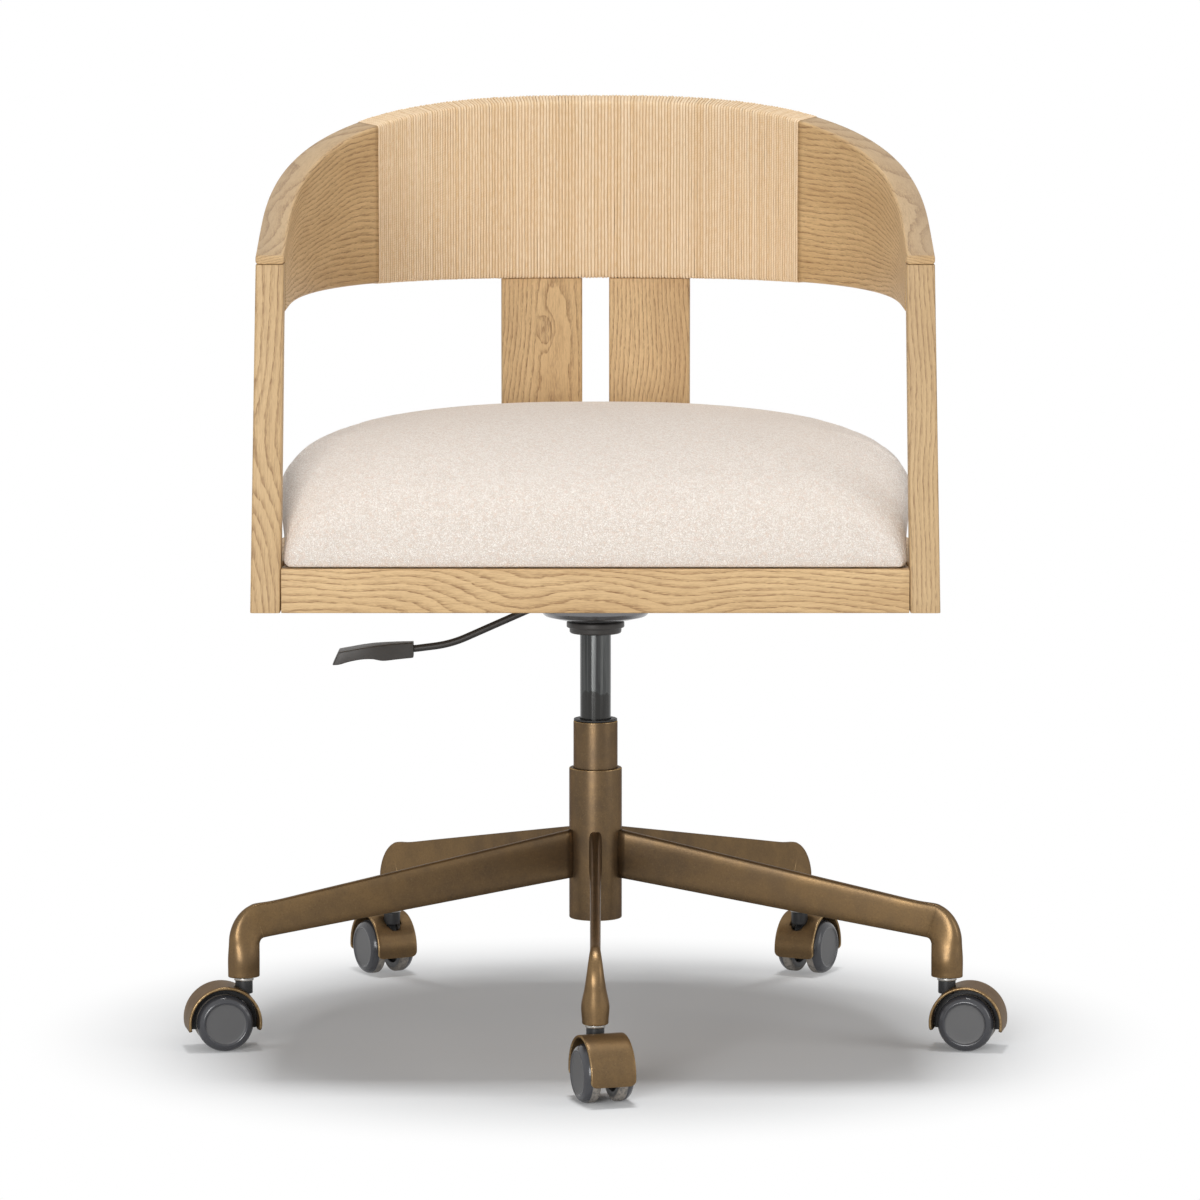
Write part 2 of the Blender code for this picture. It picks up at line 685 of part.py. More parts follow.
def back_section(point, normal, sink):
    """Eight-sided section of the back rail at a station, sunk all round by the given depth."""
    shallow = sink
    deep = BACK_WALL - sink
    low = BACK_LOW + sink
    edge = BACK_CHAMFER
    ring = []
    for inset, side, shift in ((shallow, "top", edge), (shallow, "low", edge), (shallow + edge, "low", 0),
                               (deep - edge, "low", 0), (deep, "low", edge), (deep, "top", edge),
                               (deep - edge, "top", 0), (shallow + edge, "top", 0)):
        place = point - normal * inset
        if side == "top":
            height = top_height(place.y) - sink - shift
        else:
            height = low + shift
        ring.append((place.x, place.y, height))
    return ring


def build_back_rail():
    """Bent rail: a full section on the arms, and one sunk by the cord's bed between the wrap's ends."""
    arm = [(angle, 0) for angle in range(0, round(WRAP_START), 6)] + [(WRAP_START, 0)]
    step = (WRAP_END - WRAP_START) / BED_STEPS
    bed = [(WRAP_START + step * k, CORD_SINK) for k in range(BED_STEPS + 1)]
    far_arm = [(WRAP_END, 0)] + [(180 - angle, 0) for angle in reversed(range(0, round(180 - WRAP_END), 6))]
    end = back_section(Vector((POST_HEAD_OUT, FRONT, 0)), Vector((1, 0, 0)), 0)
    far_end = back_section(Vector((-POST_HEAD_OUT, FRONT, 0)), Vector((-1, 0, 0)), 0)
    rings = [end]
    for angle, sink in arm + bed + far_arm:
        point, normal = plan_point(POST_HEAD_OUT, BACK_REACH, math.radians(angle))
        rings.append(back_section(point, normal, sink))
    rings.append(far_end)
    mesh = loft_mesh("back_rail", rings)
    smooth(mesh, 30)
    rail = add_object("back_rail", mesh, OAK, SEAT)
    inner = POST_HEAD_OUT - BACK_WALL - CUT_MARGIN
    outer = POST_HEAD_OUT + CUT_MARGIN
    for name, near, far in (("right", inner, outer), ("left", -outer, -inner)):
        low = (near, FRONT - CUT_MARGIN, BACK_LOW - CUT_MARGIN)
        high = (far, FRONT + POST_DEPTH + GAP, POST_TOP + GAP)
        cutter = add_cutter(f"post_lap_{name}", box_mesh(f"post_lap_{name}", low, high), SEAT)
        combine(rail, cutter, "DIFFERENCE")


def cord_points():
    """Centreline of the winding: rounded rectangles round the rail that step along it loop by loop."""
    spots = []
    for corner in range(4):
        for k in range(CORNER_STEPS):
            spots.append((corner, k / (CORNER_STEPS - 1), None))
        runs = LONG_RUN_STEPS if corner % 2 == 0 else SHORT_RUN_STEPS
        for k in range(1, runs + 1):
            spots.append((corner, None, k / (runs + 1)))
    start = WRAP_START + WRAP_MARGIN
    end = WRAP_END - WRAP_MARGIN
    steps = LOOP_COUNT * len(spots)
    places = []
    for step in range(steps + 1):
        angle = math.radians(start + (end - start) * step / steps)
        point, normal = plan_point(POST_HEAD_OUT, BACK_REACH, angle)
        places.append(cord_place(point, normal, spots[step % len(spots)], CORD_RADIUS + GAP))
    return places


def cord_place(point, normal, spot, offset):
    """Place on the loop: corner arcs of one radius, joined by straight runs, round the sunk section."""
    radius = BACK_CHAMFER + offset
    shallow = CORD_SINK + BACK_CHAMFER
    deep = BACK_WALL - CORD_SINK - BACK_CHAMFER
    low = BACK_LOW + CORD_SINK + BACK_CHAMFER
    centres = []
    for inset, side in ((deep, "low"), (deep, "top"), (shallow, "top"), (shallow, "low")):
        place = point - normal * inset
        height = low if side == "low" else top_height(place.y) - CORD_SINK - BACK_CHAMFER
        centres.append((inset, height))
    corner, arc, run = spot
    starts = (-90, 0, 90, 180)
    if arc is not None:
        turn = math.radians(starts[corner] + 90 * arc)
        inset = centres[corner][0] + radius * math.cos(turn)
        height = centres[corner][1] + radius * math.sin(turn)
    else:
        turn = math.radians(starts[corner] + 90)
        one = centres[corner]
        two = centres[(corner + 1) % 4]
        inset = one[0] + (two[0] - one[0]) * run + radius * math.cos(turn)
        height = one[1] + (two[1] - one[1]) * run + radius * math.sin(turn)
    place = point - normal * inset
    return (place.x, place.y, height)


def least_gap(points, skip):
    """Least clear distance of a tube to itself, on its points, leaving out near neighbours."""
    array = np.array(points)
    best = 1.0
    for k in range(len(array) - skip):
        far = np.linalg.norm(array[k + skip:] - array[k], axis=1)
        best = min(best, float(far.min()))
    return best - 2 * CORD_RADIUS


def build_cord_wrap():
    points = cord_points()
    mesh = tube_mesh("cord_wrap", points, CORD_RADIUS, 1)
    smooth(mesh, 50)
    add_object("cord_wrap", mesh, CORD, SEAT)
    print("cord winding:", LOOP_COUNT, "loops, least gap to itself",
          round(least_gap(points, len(points) // LOOP_COUNT // 2) * 1000, 2), "mm")


def post_ring(height, outer, width, sign):
    edge = EDGE_CHAMFER
    inner = outer - width
    front = FRONT
    rear = FRONT + POST_DEPTH
    spots = ((inner + edge, front), (outer - edge, front), (outer, front + edge), (outer, rear - edge),
             (outer - edge, rear), (inner + edge, rear), (inner, rear - edge), (inner, front + edge))
    return [(sign * x, y, height) for x, y in spots]


def build_posts():
    for name, sign in (("left_post", -1), ("right_post", 1)):
        rings = [post_ring(FRAME_LOW, POST_FOOT_OUT, POST_FOOT_WIDTH, sign),
                 post_ring(POST_TOP, POST_HEAD_OUT, POST_HEAD_WIDTH, sign)]
        mesh = loft_mesh(name, rings)
        add_object(name, mesh, OAK, SEAT)


def build_front_rail():
    half = POST_FOOT_OUT - POST_FOOT_WIDTH - GAP
    lean = (POST_FOOT_OUT - POST_FOOT_WIDTH) - (POST_HEAD_OUT - POST_HEAD_WIDTH)
    half -= lean * (FRAME_TOP - FRAME_LOW) / (POST_TOP - FRAME_LOW)
    low = (-half, FRONT, FRAME_LOW)
    high = (half, FRONT + FRONT_RAIL_DEPTH, FRAME_TOP)
    item = add_object("front_rail", box_mesh("front_rail", low, high), OAK, SEAT)
    bevel = item.modifiers.new("Bevel", "BEVEL")
    bevel.width = EDGE_CHAMFER * 0.6
    bevel.segments = 1


def build_seat_rail():
    stations = rail_stations(SEAT_RAIL_OUT, SEAT_RAIL_BACK, FRONT + POST_DEPTH + GAP, list(range(0, 181, 9)))
    edge = EDGE_CHAMFER * 0.6
    rings = []
    for point, normal in stations:
        ring = []
        for inset, height in ((0, FRAME_TOP - edge), (0, FRAME_LOW + edge), (edge, FRAME_LOW),
                              (SEAT_RAIL_WALL, FRAME_LOW), (SEAT_RAIL_WALL, FRAME_TOP), (edge, FRAME_TOP)):
            place = point - normal * inset
            ring.append((place.x, place.y, height))
        rings.append(ring)
    mesh = loft_mesh("seat_rail", rings)
    smooth(mesh, 30)
    add_object("seat_rail", mesh, OAK, SEAT)


def build_splats():
    """Flat splats: lapped on the seat rail's outer face, up to the winding under the back rail."""
    middle = (SPLAT_SPACE + SPLAT_WIDTH) / 2
    top = BACK_LOW + CORD_SINK - 2 * GAP - 2 * CORD_RADIUS
    for name, sign in (("left_splat", -1), ("right_splat", 1)):
        angle = math.atan2(SEAT_RAIL_BACK - CURVE_START, sign * middle)
        point, normal = plan_point(SEAT_RAIL_OUT, SEAT_RAIL_BACK, angle)
        low = (-SPLAT_WIDTH / 2, GAP, FRAME_LOW)
        high = (SPLAT_WIDTH / 2, GAP + SPLAT_THICK, top)
        turn = math.atan2(-normal.x, normal.y)
        item = add_object(name, box_mesh(name, low, high), OAK, SEAT, location=point, turn=(0, 0, turn))
        bevel = item.modifiers.new("Bevel", "BEVEL")
        bevel.width = EDGE_CHAMFER
        bevel.segments = 1


# Seat
def build_seat_board():
    """Plywood board inside the rails, under the cushion."""
    limit = POST_FOOT_OUT - POST_FOOT_WIDTH - SEAT_RAIL_INSET
    front = FRONT + FRONT_RAIL_DEPTH + GAP
    stations = rail_stations(SEAT_RAIL_OUT, SEAT_RAIL_BACK, front, list(range(0, 181, 9)))
    rings = []
    for height in (BOARD_LOW, FRAME_TOP):
        ring = []
        for point, normal in stations:
            place = point - normal * (SEAT_RAIL_WALL + GAP)
            ring.append((max(-limit, min(limit, place.x)), place.y, height))
        rings.append(ring)
    add_object("seat_board", loft_mesh("seat_board", rings), PLYWOOD, SEAT)


def cushion_outline():
    """Plan of the cushion: straight front with small round corners, and the frame's curve behind."""
    half = POST_HEAD_OUT - POST_HEAD_WIDTH + CUSHION_POST_LEAN - CUSHION_SIDE_SPACE
    front = FRONT + CUSHION_FRONT_INSET
    corner = CUSHION_CORNER
    right = []
    for k in range(4):
        angle = math.radians(-90 + 30 * k)
        right.append((half - corner + corner * math.cos(angle), front + corner + corner * math.sin(angle)))
    for share in (0.2, 0.5, 0.8):
        right.append((half, front + corner + (CURVE_START - front - corner) * share))
    curve = []
    steps = 22
    for k in range(steps + 1):
        point, _ = plan_point(half, SEAT_RAIL_BACK - CUSHION_BACK_INSET, math.pi * k / steps)
        curve.append((point.x, point.y))
    left = [(-x, y) for x, y in reversed(right)]
    front_run = [(half * share, front) for share in (-0.7, -0.35, 0.0, 0.35, 0.7)]
    return right + curve + left + front_run


def build_cushion():
    """Crowned pad: its sides draw in to the rail below and roll over to a high crown above."""
    low = FRAME_TOP + GAP
    outline = cushion_outline()
    centre = (0.0, -0.030)
    levels = (
        (0.978, 0.0), (0.996, 0.06), (1.0, 0.18), (1.0, 0.36), (0.994, 0.47), (0.975, 0.565),
        (0.935, 0.663), (0.865, 0.761), (0.75, 0.86), (0.58, 0.934), (0.36, 0.98), (0.12, 1.0),
    )
    rings = []
    for share, rise in levels:
        ring = []
        for x, y in outline:
            ring.append((centre[0] + (x - centre[0]) * share, centre[1] + (y - centre[1]) * share,
                         low + CUSHION_CROWN * rise))
        rings.append(ring)
    mesh = loft_mesh("seat_cushion", rings)
    smooth(mesh, 40)
    add_object("seat_cushion", mesh, FABRIC, SEAT)


# Mechanism under the seat
def build_mount_plate():
    half = PLATE_SIZE / 2
    mesh = box_mesh("mount_plate", (-half, -half, PLATE_UNDER), (half, half, PLATE_TOP))
    add_object("mount_plate", mesh, BLACK_STEEL, SEAT)


def build_housing():
    """Dished housing under the plate, with the lift's socket inside and a slot for the lever."""
    bore = TUBE_RADIUS + GAP
    top = PLATE_UNDER - GAP
    wall = DISH_WALL
    out = DISH_RADIUS
    socket = bore + SOCKET_WALL
    socket_top = TUBE_TOP - wall
    profile = [
        (out - wall, top), (out, top), (out, DISH_LOW + DISH_SIDE_RISE),
        (out - DISH_EDGE_INSET, DISH_LOW + DISH_EDGE_RISE), (DISH_CONE_REACH, DISH_LOW + DISH_CONE_RISE),
        (COLLAR_RADIUS, DISH_LOW), (bore, DISH_LOW), (bore, socket_top), (socket, socket_top),
        (socket, DISH_LOW + wall), (COLLAR_RADIUS, DISH_LOW + wall),
        (DISH_CONE_REACH - DISH_EDGE_INSET, DISH_LOW + DISH_CONE_RISE + wall),
        (out - wall, DISH_LOW + DISH_EDGE_RISE + wall),
    ]
    housing = turned("swivel_housing", profile, BLACK_STEEL, SEAT, 28)
    low = (-out - CUT_MARGIN, -LEVER_ROD_RADIUS - SLOT_SIDE, rod_height(-out) - SLOT_BELOW)
    high = (-out + CUT_MARGIN, LEVER_ROD_RADIUS + SLOT_SIDE, rod_height(-out) + SLOT_ABOVE)
    combine(housing, add_cutter("lever_slot", box_mesh("lever_slot", low, high), SEAT), "DIFFERENCE")


def build_collar():
    bore = TUBE_RADIUS + GAP
    top = DISH_LOW - GAP
    step = top - COLLAR_HEIGHT
    profile = [
        (bore, top), (COLLAR_RADIUS, top), (COLLAR_RADIUS, step), (RING_RADIUS, step),
        (RING_RADIUS, step - RING_HEIGHT), (bore, step - RING_HEIGHT),
    ]
    turned("socket_collar", profile, BLACK_STEEL, SEAT, 24)


def build_bracket():
    """Channel under the plate: two lugs that hold the lever's pin."""
    inner = LEVER_WIDTH / 2 + LUG_GAP
    outer = inner + LUG_THICK
    top = PLATE_UNDER - GAP
    low = (PIVOT_X - LUG_LENGTH / 2, -outer, PIVOT_Z - LUG_LENGTH / 2)
    high = (PIVOT_X + LUG_LENGTH / 2, outer, top)
    bracket = add_object("lever_bracket", box_mesh("lever_bracket", low, high), BLACK_STEEL, SEAT)
    low = (low[0] - CUT_MARGIN, -inner, low[2] - CUT_MARGIN)
    high = (high[0] + CUT_MARGIN, inner, top - LUG_THICK)
    combine(bracket, add_cutter("bracket_space", box_mesh("bracket_space", low, high), SEAT), "DIFFERENCE")
    hole = cylinder_mesh("bracket_hole", LEVER_PIN_RADIUS + GAP, -outer - CUT_MARGIN, outer + CUT_MARGIN, 16)
    cutter = add_cutter("bracket_hole", hole, SEAT, (PIVOT_X, 0, PIVOT_Z), (math.pi / 2, 0, 0))
    combine(bracket, cutter, "DIFFERENCE")
    reach = outer + 0.0008
    pin = cylinder_mesh("lever_pin", LEVER_PIN_RADIUS, -reach, reach, 16)
    smooth(pin)
    add_object("lever_pin", pin, STEEL, SEAT, (PIVOT_X, 0, PIVOT_Z), (math.pi / 2, 0, 0))


def rod_height(x):
    """Height of the lever rod's straight run, from the pivot's block down to the bend."""
    start_x = PIVOT_X - LEVER_START_SETBACK
    start_z = PIVOT_Z - LEVER_START_DROP
    return start_z + (BEND_Z - start_z) * (x - start_x) / (BEND_X - start_x)


def lever_route():
    """Rod's centreline in x and z from the pivot: straight, an eased bend, then almost level."""
    end_x = PADDLE_ROOT_X - PADDLE_SOCKET
    end_z = PADDLE_ROOT_Z - LEVER_END_DROP
    start_x = PIVOT_X - LEVER_START_SETBACK + LEVER_START_OVERLAP
    points = [(start_x, rod_height(start_x))]
    before = (BEND_X + BEND_REACH, rod_height(BEND_X + BEND_REACH))
    after = (BEND_X - BEND_REACH, BEND_Z + (PADDLE_ROOT_Z - BEND_Z) * BEND_REACH / PADDLE_SETBACK)
    for k in range(5):
        share = k / 4
        x = (1 - share) ** 2 * before[0] + 2 * share * (1 - share) * BEND_X + share ** 2 * after[0]
        z = (1 - share) ** 2 * before[1] + 2 * share * (1 - share) * BEND_Z + share ** 2 * after[1]
        points.append((x, z))
    points.append((PADDLE_ROOT_X + 0.002, PADDLE_ROOT_Z))
    points.append((end_x, end_z))
    return [(x - PIVOT_X, 0, z - PIVOT_Z) for x, z in points]


def build_lever_rod():
    half = LEVER_BLOCK / 2
    low = (-0.0070, -LEVER_WIDTH / 2, -half)
    high = (-PIVOT_X + 0.0020, LEVER_WIDTH / 2, half)
    lever = add_object("lever_rod", box_mesh("lever_rod", low, high), BLACK_STEEL, LEVER)
    rod = tube_mesh("lever_tube", lever_route(), LEVER_ROD_RADIUS, 2)
    combine(lever, add_cutter("lever_tube", rod, LEVER), "UNION")
    hole = cylinder_mesh("lever_hole", LEVER_PIN_RADIUS + GAP, -0.02, 0.02, 16)
    combine(lever, add_cutter("lever_hole", hole, LEVER, turn=(math.pi / 2, 0, 0)), "DIFFERENCE")


def build_paddle():
    """Paddle that droops and widens to a slanted tip: each section has a top edge, a low edge and a width."""
    rings = []
    for top_reach, top, low_reach, low, width in PADDLE_SECTIONS:
        ring = []
        for j in range(12):
            angle = math.tau * (j + 0.5) / 12
            cosine = math.cos(angle)
            sine = math.sin(angle)
            across = width / 2 * math.copysign(abs(cosine) ** 0.35, cosine)
            share = (1 + math.copysign(abs(sine) ** 0.35, sine)) / 2
            reach = low_reach + (top_reach - low_reach) * share
            height = low + (top - low) * share
            ring.append((PADDLE_ROOT_X - reach - PIVOT_X, across, PADDLE_ROOT_Z + height - PIVOT_Z))
        rings.append(ring)
    mesh = loft_mesh("lever_paddle", rings)
    smooth(mesh, 40)
    paddle = add_object("lever_paddle", mesh, BLACK_PLASTIC, LEVER)
    socket = tube_mesh("paddle_socket", paddle_socket_route(), LEVER_ROD_RADIUS + GAP, 2)
    combine(paddle, add_cutter("paddle_socket", socket, LEVER), "DIFFERENCE")


def paddle_socket_route():
    """The rod's last run, a little longer at both ends, as the paddle's socket."""
    one, two = (Vector(point) for point in lever_route()[-2:])
    along = (two - one).normalized()
    return [one - along * PADDLE_SOCKET_MARGIN, two + along * GAP]


# Assembly
clear_scene()
PARTS = make_collection("desk_chair")
CUTTERS = make_collection("cutters")

OAK = material("oak", (0.60, 0.41, 0.21), 0.55)
CORD = material("paper_cord", (0.73, 0.52, 0.30), 0.80)
FABRIC = material("cream_boucle", (0.80, 0.74, 0.68), 0.95)
PLYWOOD = material("plywood", (0.55, 0.40, 0.24), 0.70)
BRONZE = material("bronze_coat", (0.17, 0.105, 0.05), 0.42, 0.6)
GUNMETAL = material("gunmetal", (0.075, 0.08, 0.08), 0.35, 0.7)
STEEL = material("steel", (0.45, 0.45, 0.46), 0.35, 1.0)
BLACK_STEEL = material("black_steel", (0.05, 0.05, 0.05), 0.45, 0.3)
BLACK_PLASTIC = material("black_plastic", (0.045, 0.042, 0.040), 0.45)
DARK_NYLON = material("dark_nylon", (0.035, 0.035, 0.035), 0.50)
CHARCOAL = material("charcoal_wheel", (0.075, 0.075, 0.08), 0.38)

CHAIR = add_empty("chair", location=(0, footprint_middle(), 0))
BASE = add_empty("base", CHAIR)
PISTON = add_empty("piston", BASE)
SEAT = add_empty("seat", PISTON)
LEVER = add_empty("lever", SEAT, (PIVOT_X, 0, PIVOT_Z))
RELEASE = add_empty("release", SEAT)

build_hub()
build_column_tube()
build_column_bush()
build_thrust_bearing()
build_piston_rod()
build_pressure_tube()
build_release_pin()
build_legs()
for caster in range(1, LEG_COUNT + 1):
    build_castor(caster)
build_back_rail()
build_cord_wrap()
build_posts()
build_front_rail()
build_seat_rail()
build_splats()
build_seat_board()
build_cushion()
build_mount_plate()
build_housing()
build_collar()
build_bracket()
build_lever_rod()
build_paddle()
print("column axis behind the origin:", round(footprint_middle() * 1000, 2), "mm")
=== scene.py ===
# %% [markdown]
# # A desk chair, dressed
# The frame holds every solid of the chair at its real size, with its joints. This file gives those solids
# their looks: smooth surfaces where the solids are faceted, and the finish of each material.
# Each step says what a piece is on the real chair, how it could be made, and why this way was chosen.

import math

import bpy
import numpy as np
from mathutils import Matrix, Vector


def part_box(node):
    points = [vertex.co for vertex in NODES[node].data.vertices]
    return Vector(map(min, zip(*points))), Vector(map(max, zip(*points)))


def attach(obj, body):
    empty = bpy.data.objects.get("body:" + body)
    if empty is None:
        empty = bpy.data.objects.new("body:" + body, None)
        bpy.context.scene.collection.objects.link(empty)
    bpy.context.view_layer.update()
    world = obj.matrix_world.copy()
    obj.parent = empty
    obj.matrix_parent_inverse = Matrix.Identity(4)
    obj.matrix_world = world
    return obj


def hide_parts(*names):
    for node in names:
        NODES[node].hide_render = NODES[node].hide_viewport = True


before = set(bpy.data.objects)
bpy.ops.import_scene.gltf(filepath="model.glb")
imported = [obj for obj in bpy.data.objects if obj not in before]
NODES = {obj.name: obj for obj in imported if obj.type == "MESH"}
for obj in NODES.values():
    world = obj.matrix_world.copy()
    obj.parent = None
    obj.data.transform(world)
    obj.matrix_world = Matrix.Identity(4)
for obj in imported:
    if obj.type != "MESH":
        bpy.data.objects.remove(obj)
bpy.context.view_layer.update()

# %% [markdown]
# ## Where everything stands
# All round parts of the base share one upright line, the column's axis. The places below are measured from
# that line, as in the chair's construction, and each finished surface is moved onto it once.


# %% The column's axis and the main sizes
def middle(node):
    low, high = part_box(node)
    return (low + high) / 2


AXIS = np.array([0.0, middle("pressure_tube").y, 0.0])
GAP = 0.0003


def corners(node):
    """Lowest and highest corner of a solid, measured from the column's axis."""
    return [np.array(corner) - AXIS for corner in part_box(node)]


def heights(node):
    """Lowest and highest Z of a solid."""
    return [float(corner.z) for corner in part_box(node)]


RAIL_LOW, RAIL_HIGH = corners("back_rail")
POST_LOW, POST_HIGH = corners("right_post")
SILL_LOW, SILL_HIGH = corners("front_rail")
SEAT_LOW, SEAT_HIGH = corners("seat_rail")
PAD_LOW, PAD_HIGH = corners("seat_cushion")
print("column axis", AXIS.round(4), "rail", RAIL_LOW.round(4), RAIL_HIGH.round(4))
print("pad", PAD_LOW.round(4), PAD_HIGH.round(4), "post", POST_LOW.round(4), POST_HIGH.round(4))

# %% [markdown]
# ## Surfaces as grids of numbers
# Most pieces of a chair are one outline carried along one path: a rail, a leg, a turned tube. Such a shape is
# a grid of points, with one row for each station of the path and one column for each point of the outline.
# A grid could be modelled by hand, but worked out with numpy it keeps its sizes exact and its edges even.


# %% Reading and writing a mesh
def mesh_places(mesh):
    places = np.empty(len(mesh.vertices) * 3)
    mesh.vertices.foreach_get("co", places)
    return places.reshape(-1, 3)


def put_places(mesh, places):
    mesh.vertices.foreach_set("co", places.ravel())
    mesh.update()
    return mesh


def write_numbers(mesh, name, values):
    """A number at each point, or a vector where values has three columns, for the materials to read."""
    kind, key = ("FLOAT", "value") if values.ndim == 1 else ("FLOAT_VECTOR", "vector")
    layer = mesh.attributes.new(name, kind, "POINT")
    layer.data.foreach_set(key, values.astype(np.float32).ravel())


def new_object(name, data):
    item = bpy.data.objects.new(name, data)
    bpy.context.scene.collection.objects.link(item)
    return item


# %% A mesh from a grid of points
def grid_faces(rows, columns, round_rows, round_columns):
    """Corner numbers of the quads between neighbouring rows and columns of a grid."""
    last_row = rows if round_rows else rows - 1
    last_column = columns if round_columns else columns - 1
    i, j = np.meshgrid(np.arange(last_row), np.arange(last_column), indexing="ij")
    i, j = i.ravel(), j.ravel()
    here = i * columns
    there = (i + 1) % rows * columns
    beside = (j + 1) % columns
    return np.stack([here + j, here + beside, there + beside, there + j], 1), i, j


def enclosed_volume(places, faces):
    """Six times the volume: the sum of each triangle's triple product, positive when faces point outwards."""
    a, b, c, d = (places[faces[:, k]] for k in range(4))
    return float((np.cross(b - a, c - a) * a).sum() + (np.cross(c - a, d - a) * a).sum())


def grid_mesh(name, grid, round_rows=False, round_columns=True, capped=True, along=None, across=None):
    """Mesh of a grid (rows, columns, 3). Open ends get a flat cap. UV holds along and across, in metres."""
    rows, columns = grid.shape[:2]
    places = grid.reshape(-1, 3)
    faces, i, j = grid_faces(rows, columns, round_rows, round_columns)
    along = np.arange(rows + 1.0) if along is None else np.append(along, 2 * along[-1] - along[-2])
    across = np.arange(columns + 1.0) if across is None else np.append(across, 2 * across[-1] - across[-2])
    ends = []
    if capped and not round_rows:
        ends = [list(range(columns))[::-1], list(range((rows - 1) * columns, rows * columns))]
    turned_in = enclosed_volume(places - places.mean(0), faces) < 0
    corners = np.stack([np.stack([along[i], across[j]], 1), np.stack([along[i], across[j + 1]], 1),
                        np.stack([along[i + 1], across[j + 1]], 1), np.stack([along[i + 1], across[j]], 1)], 1)
    if turned_in:
        faces = faces[:, ::-1]
        corners = corners[:, ::-1]
        ends = [end[::-1] for end in ends]
    mesh = bpy.data.meshes.new(name)
    mesh.from_pydata(places.tolist(), [], faces.tolist() + ends)
    layer = mesh.uv_layers.new(name="UVMap")
    values = np.zeros((len(mesh.loops), 2))
    values[: corners.shape[0] * 4] = corners.reshape(-1, 2)
    layer.data.foreach_set("uv", values.ravel())
    return mesh


# %% [markdown]
# ## Edges that know that they are edges
# Paint rubs off and wood darkens along edges. A material can't see an edge cheaply, so each mesh carries a
# number at every point: how sharply the surface turns there. It is large on a rounded edge and small on a face.


# %% How sharply a mesh turns at each point
def edge_turn(mesh):
    """Mean over a point's edges of minus (normal . step) / step squared, in one over metres."""
    count = len(mesh.vertices)
    places = mesh_places(mesh)
    normals = np.empty(count * 3, np.float32)
    mesh.vertex_normals.foreach_get("vector", normals)
    normals = normals.reshape(-1, 3)
    ends = np.empty(len(mesh.edges) * 2, int)
    mesh.edges.foreach_get("vertices", ends)
    ends = ends.reshape(-1, 2)
    total = np.zeros(count)
    number = np.zeros(count)
    for one, two in ((0, 1), (1, 0)):
        step = places[ends[:, two]] - places[ends[:, one]]
        square = np.maximum((step ** 2).sum(1), 1e-12)
        turn = -(normals[ends[:, one]] * step).sum(1) / square * 2
        np.add.at(total, ends[:, one], turn)
        np.add.at(number, ends[:, one], 1)
    return total / np.maximum(number, 1)


def mark_edges(mesh, soft=120.0, sharp=500.0):
    """Attribute "edge": 0 where the surface turns slower than soft, 1 where it turns faster than sharp."""
    write_numbers(mesh, "edge", np.clip((edge_turn(mesh) - soft) / (sharp - soft), 0, 1))


# %% A finished piece
def piece(name, mesh, body, finish, node):
    """An object at the origin that rides on a body, stands for a solid and takes a finish."""
    mesh.shade_smooth()
    if "edge" not in mesh.attributes:
        mark_edges(mesh)
    mesh.materials.append(finish)
    item = new_object(name, mesh)
    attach(item, body)
    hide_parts(node)
    print(name, "points", len(mesh.vertices))
    return item


# %% [markdown]
# ## Paths and outlines
# A corner on a real part is never a knife edge. An outline is written with few points, and each corner is then
# swapped for a short curve. A path through a few stations is drawn as a smooth spline through all of them.


# %% Rounded corners and smooth paths
def quarter(radius, steps):
    """The two distances to the faces beside an edge along its quarter circle: r (1 - cos) and r (1 - sin)."""
    turn = np.radians(np.linspace(0, 90, steps))
    return radius * (1 - np.cos(turn)), radius * (1 - np.sin(turn))


def corner_ring(steps):
    """Directions of a rectangle's four corners, and the cosines and sines of their quarter circles."""
    corner = np.radians(np.linspace(0, 90, steps))
    angle = np.concatenate([corner + math.pi / 2 * k for k in range(4)])
    toward = np.repeat([[1, 1], [-1, 1], [-1, -1], [1, -1]], steps, axis=0)
    return toward, np.cos(angle), np.sin(angle)


def rounded(points, radius, steps=5, closed=False):
    """Swaps each corner for a quadratic curve that starts and ends one radius away from it."""
    points = np.asarray(points, float)
    before = np.roll(points, 1, 0)
    after = np.roll(points, -1, 0)
    radius = np.broadcast_to(np.asarray(radius, float), (len(points),))[:, None]
    to_before = before - points
    to_after = after - points
    reach_before = np.linalg.norm(to_before, axis=1, keepdims=True) + 1e-12
    reach_after = np.linalg.norm(to_after, axis=1, keepdims=True) + 1e-12
    start = points + to_before / reach_before * np.minimum(radius, reach_before * 0.48)
    end = points + to_after / reach_after * np.minimum(radius, reach_after * 0.48)
    if not closed:
        start[0] = end[0] = points[0]
        start[-1] = end[-1] = points[-1]
    share = np.linspace(0, 1, steps)[:, None, None]
    curve = (1 - share) ** 2 * start + 2 * share * (1 - share) * points + share ** 2 * end
    path = curve.transpose(1, 0, 2).reshape(-1, points.shape[1])
    keep = np.linalg.norm(np.diff(path, axis=0, prepend=path[:1] - 1), axis=1) > 1e-7
    return path[keep]


def smooth_path(points, count):
    """Catmull-Rom spline: each span mixes four neighbouring points with cubic weights."""
    points = np.asarray(points, float)
    ends = np.vstack([2 * points[0] - points[1], points, 2 * points[-1] - points[-2]])
    place = np.linspace(0, len(points) - 1 - 1e-9, count)
    span = place.astype(int)
    t = (place - span)[:, None]
    a, b, c, d = (ends[span + k] for k in range(4))
    return 0.5 * (2 * b + (c - a) * t + (2 * a - 5 * b + 4 * c - d) * t ** 2 + (3 * b - a - 3 * c + d) * t ** 3)


def distance_along(path):
    """Length of a path from its start to each of its points."""
    return np.concatenate([[0], np.cumsum(np.linalg.norm(np.diff(path, axis=0), axis=1))])


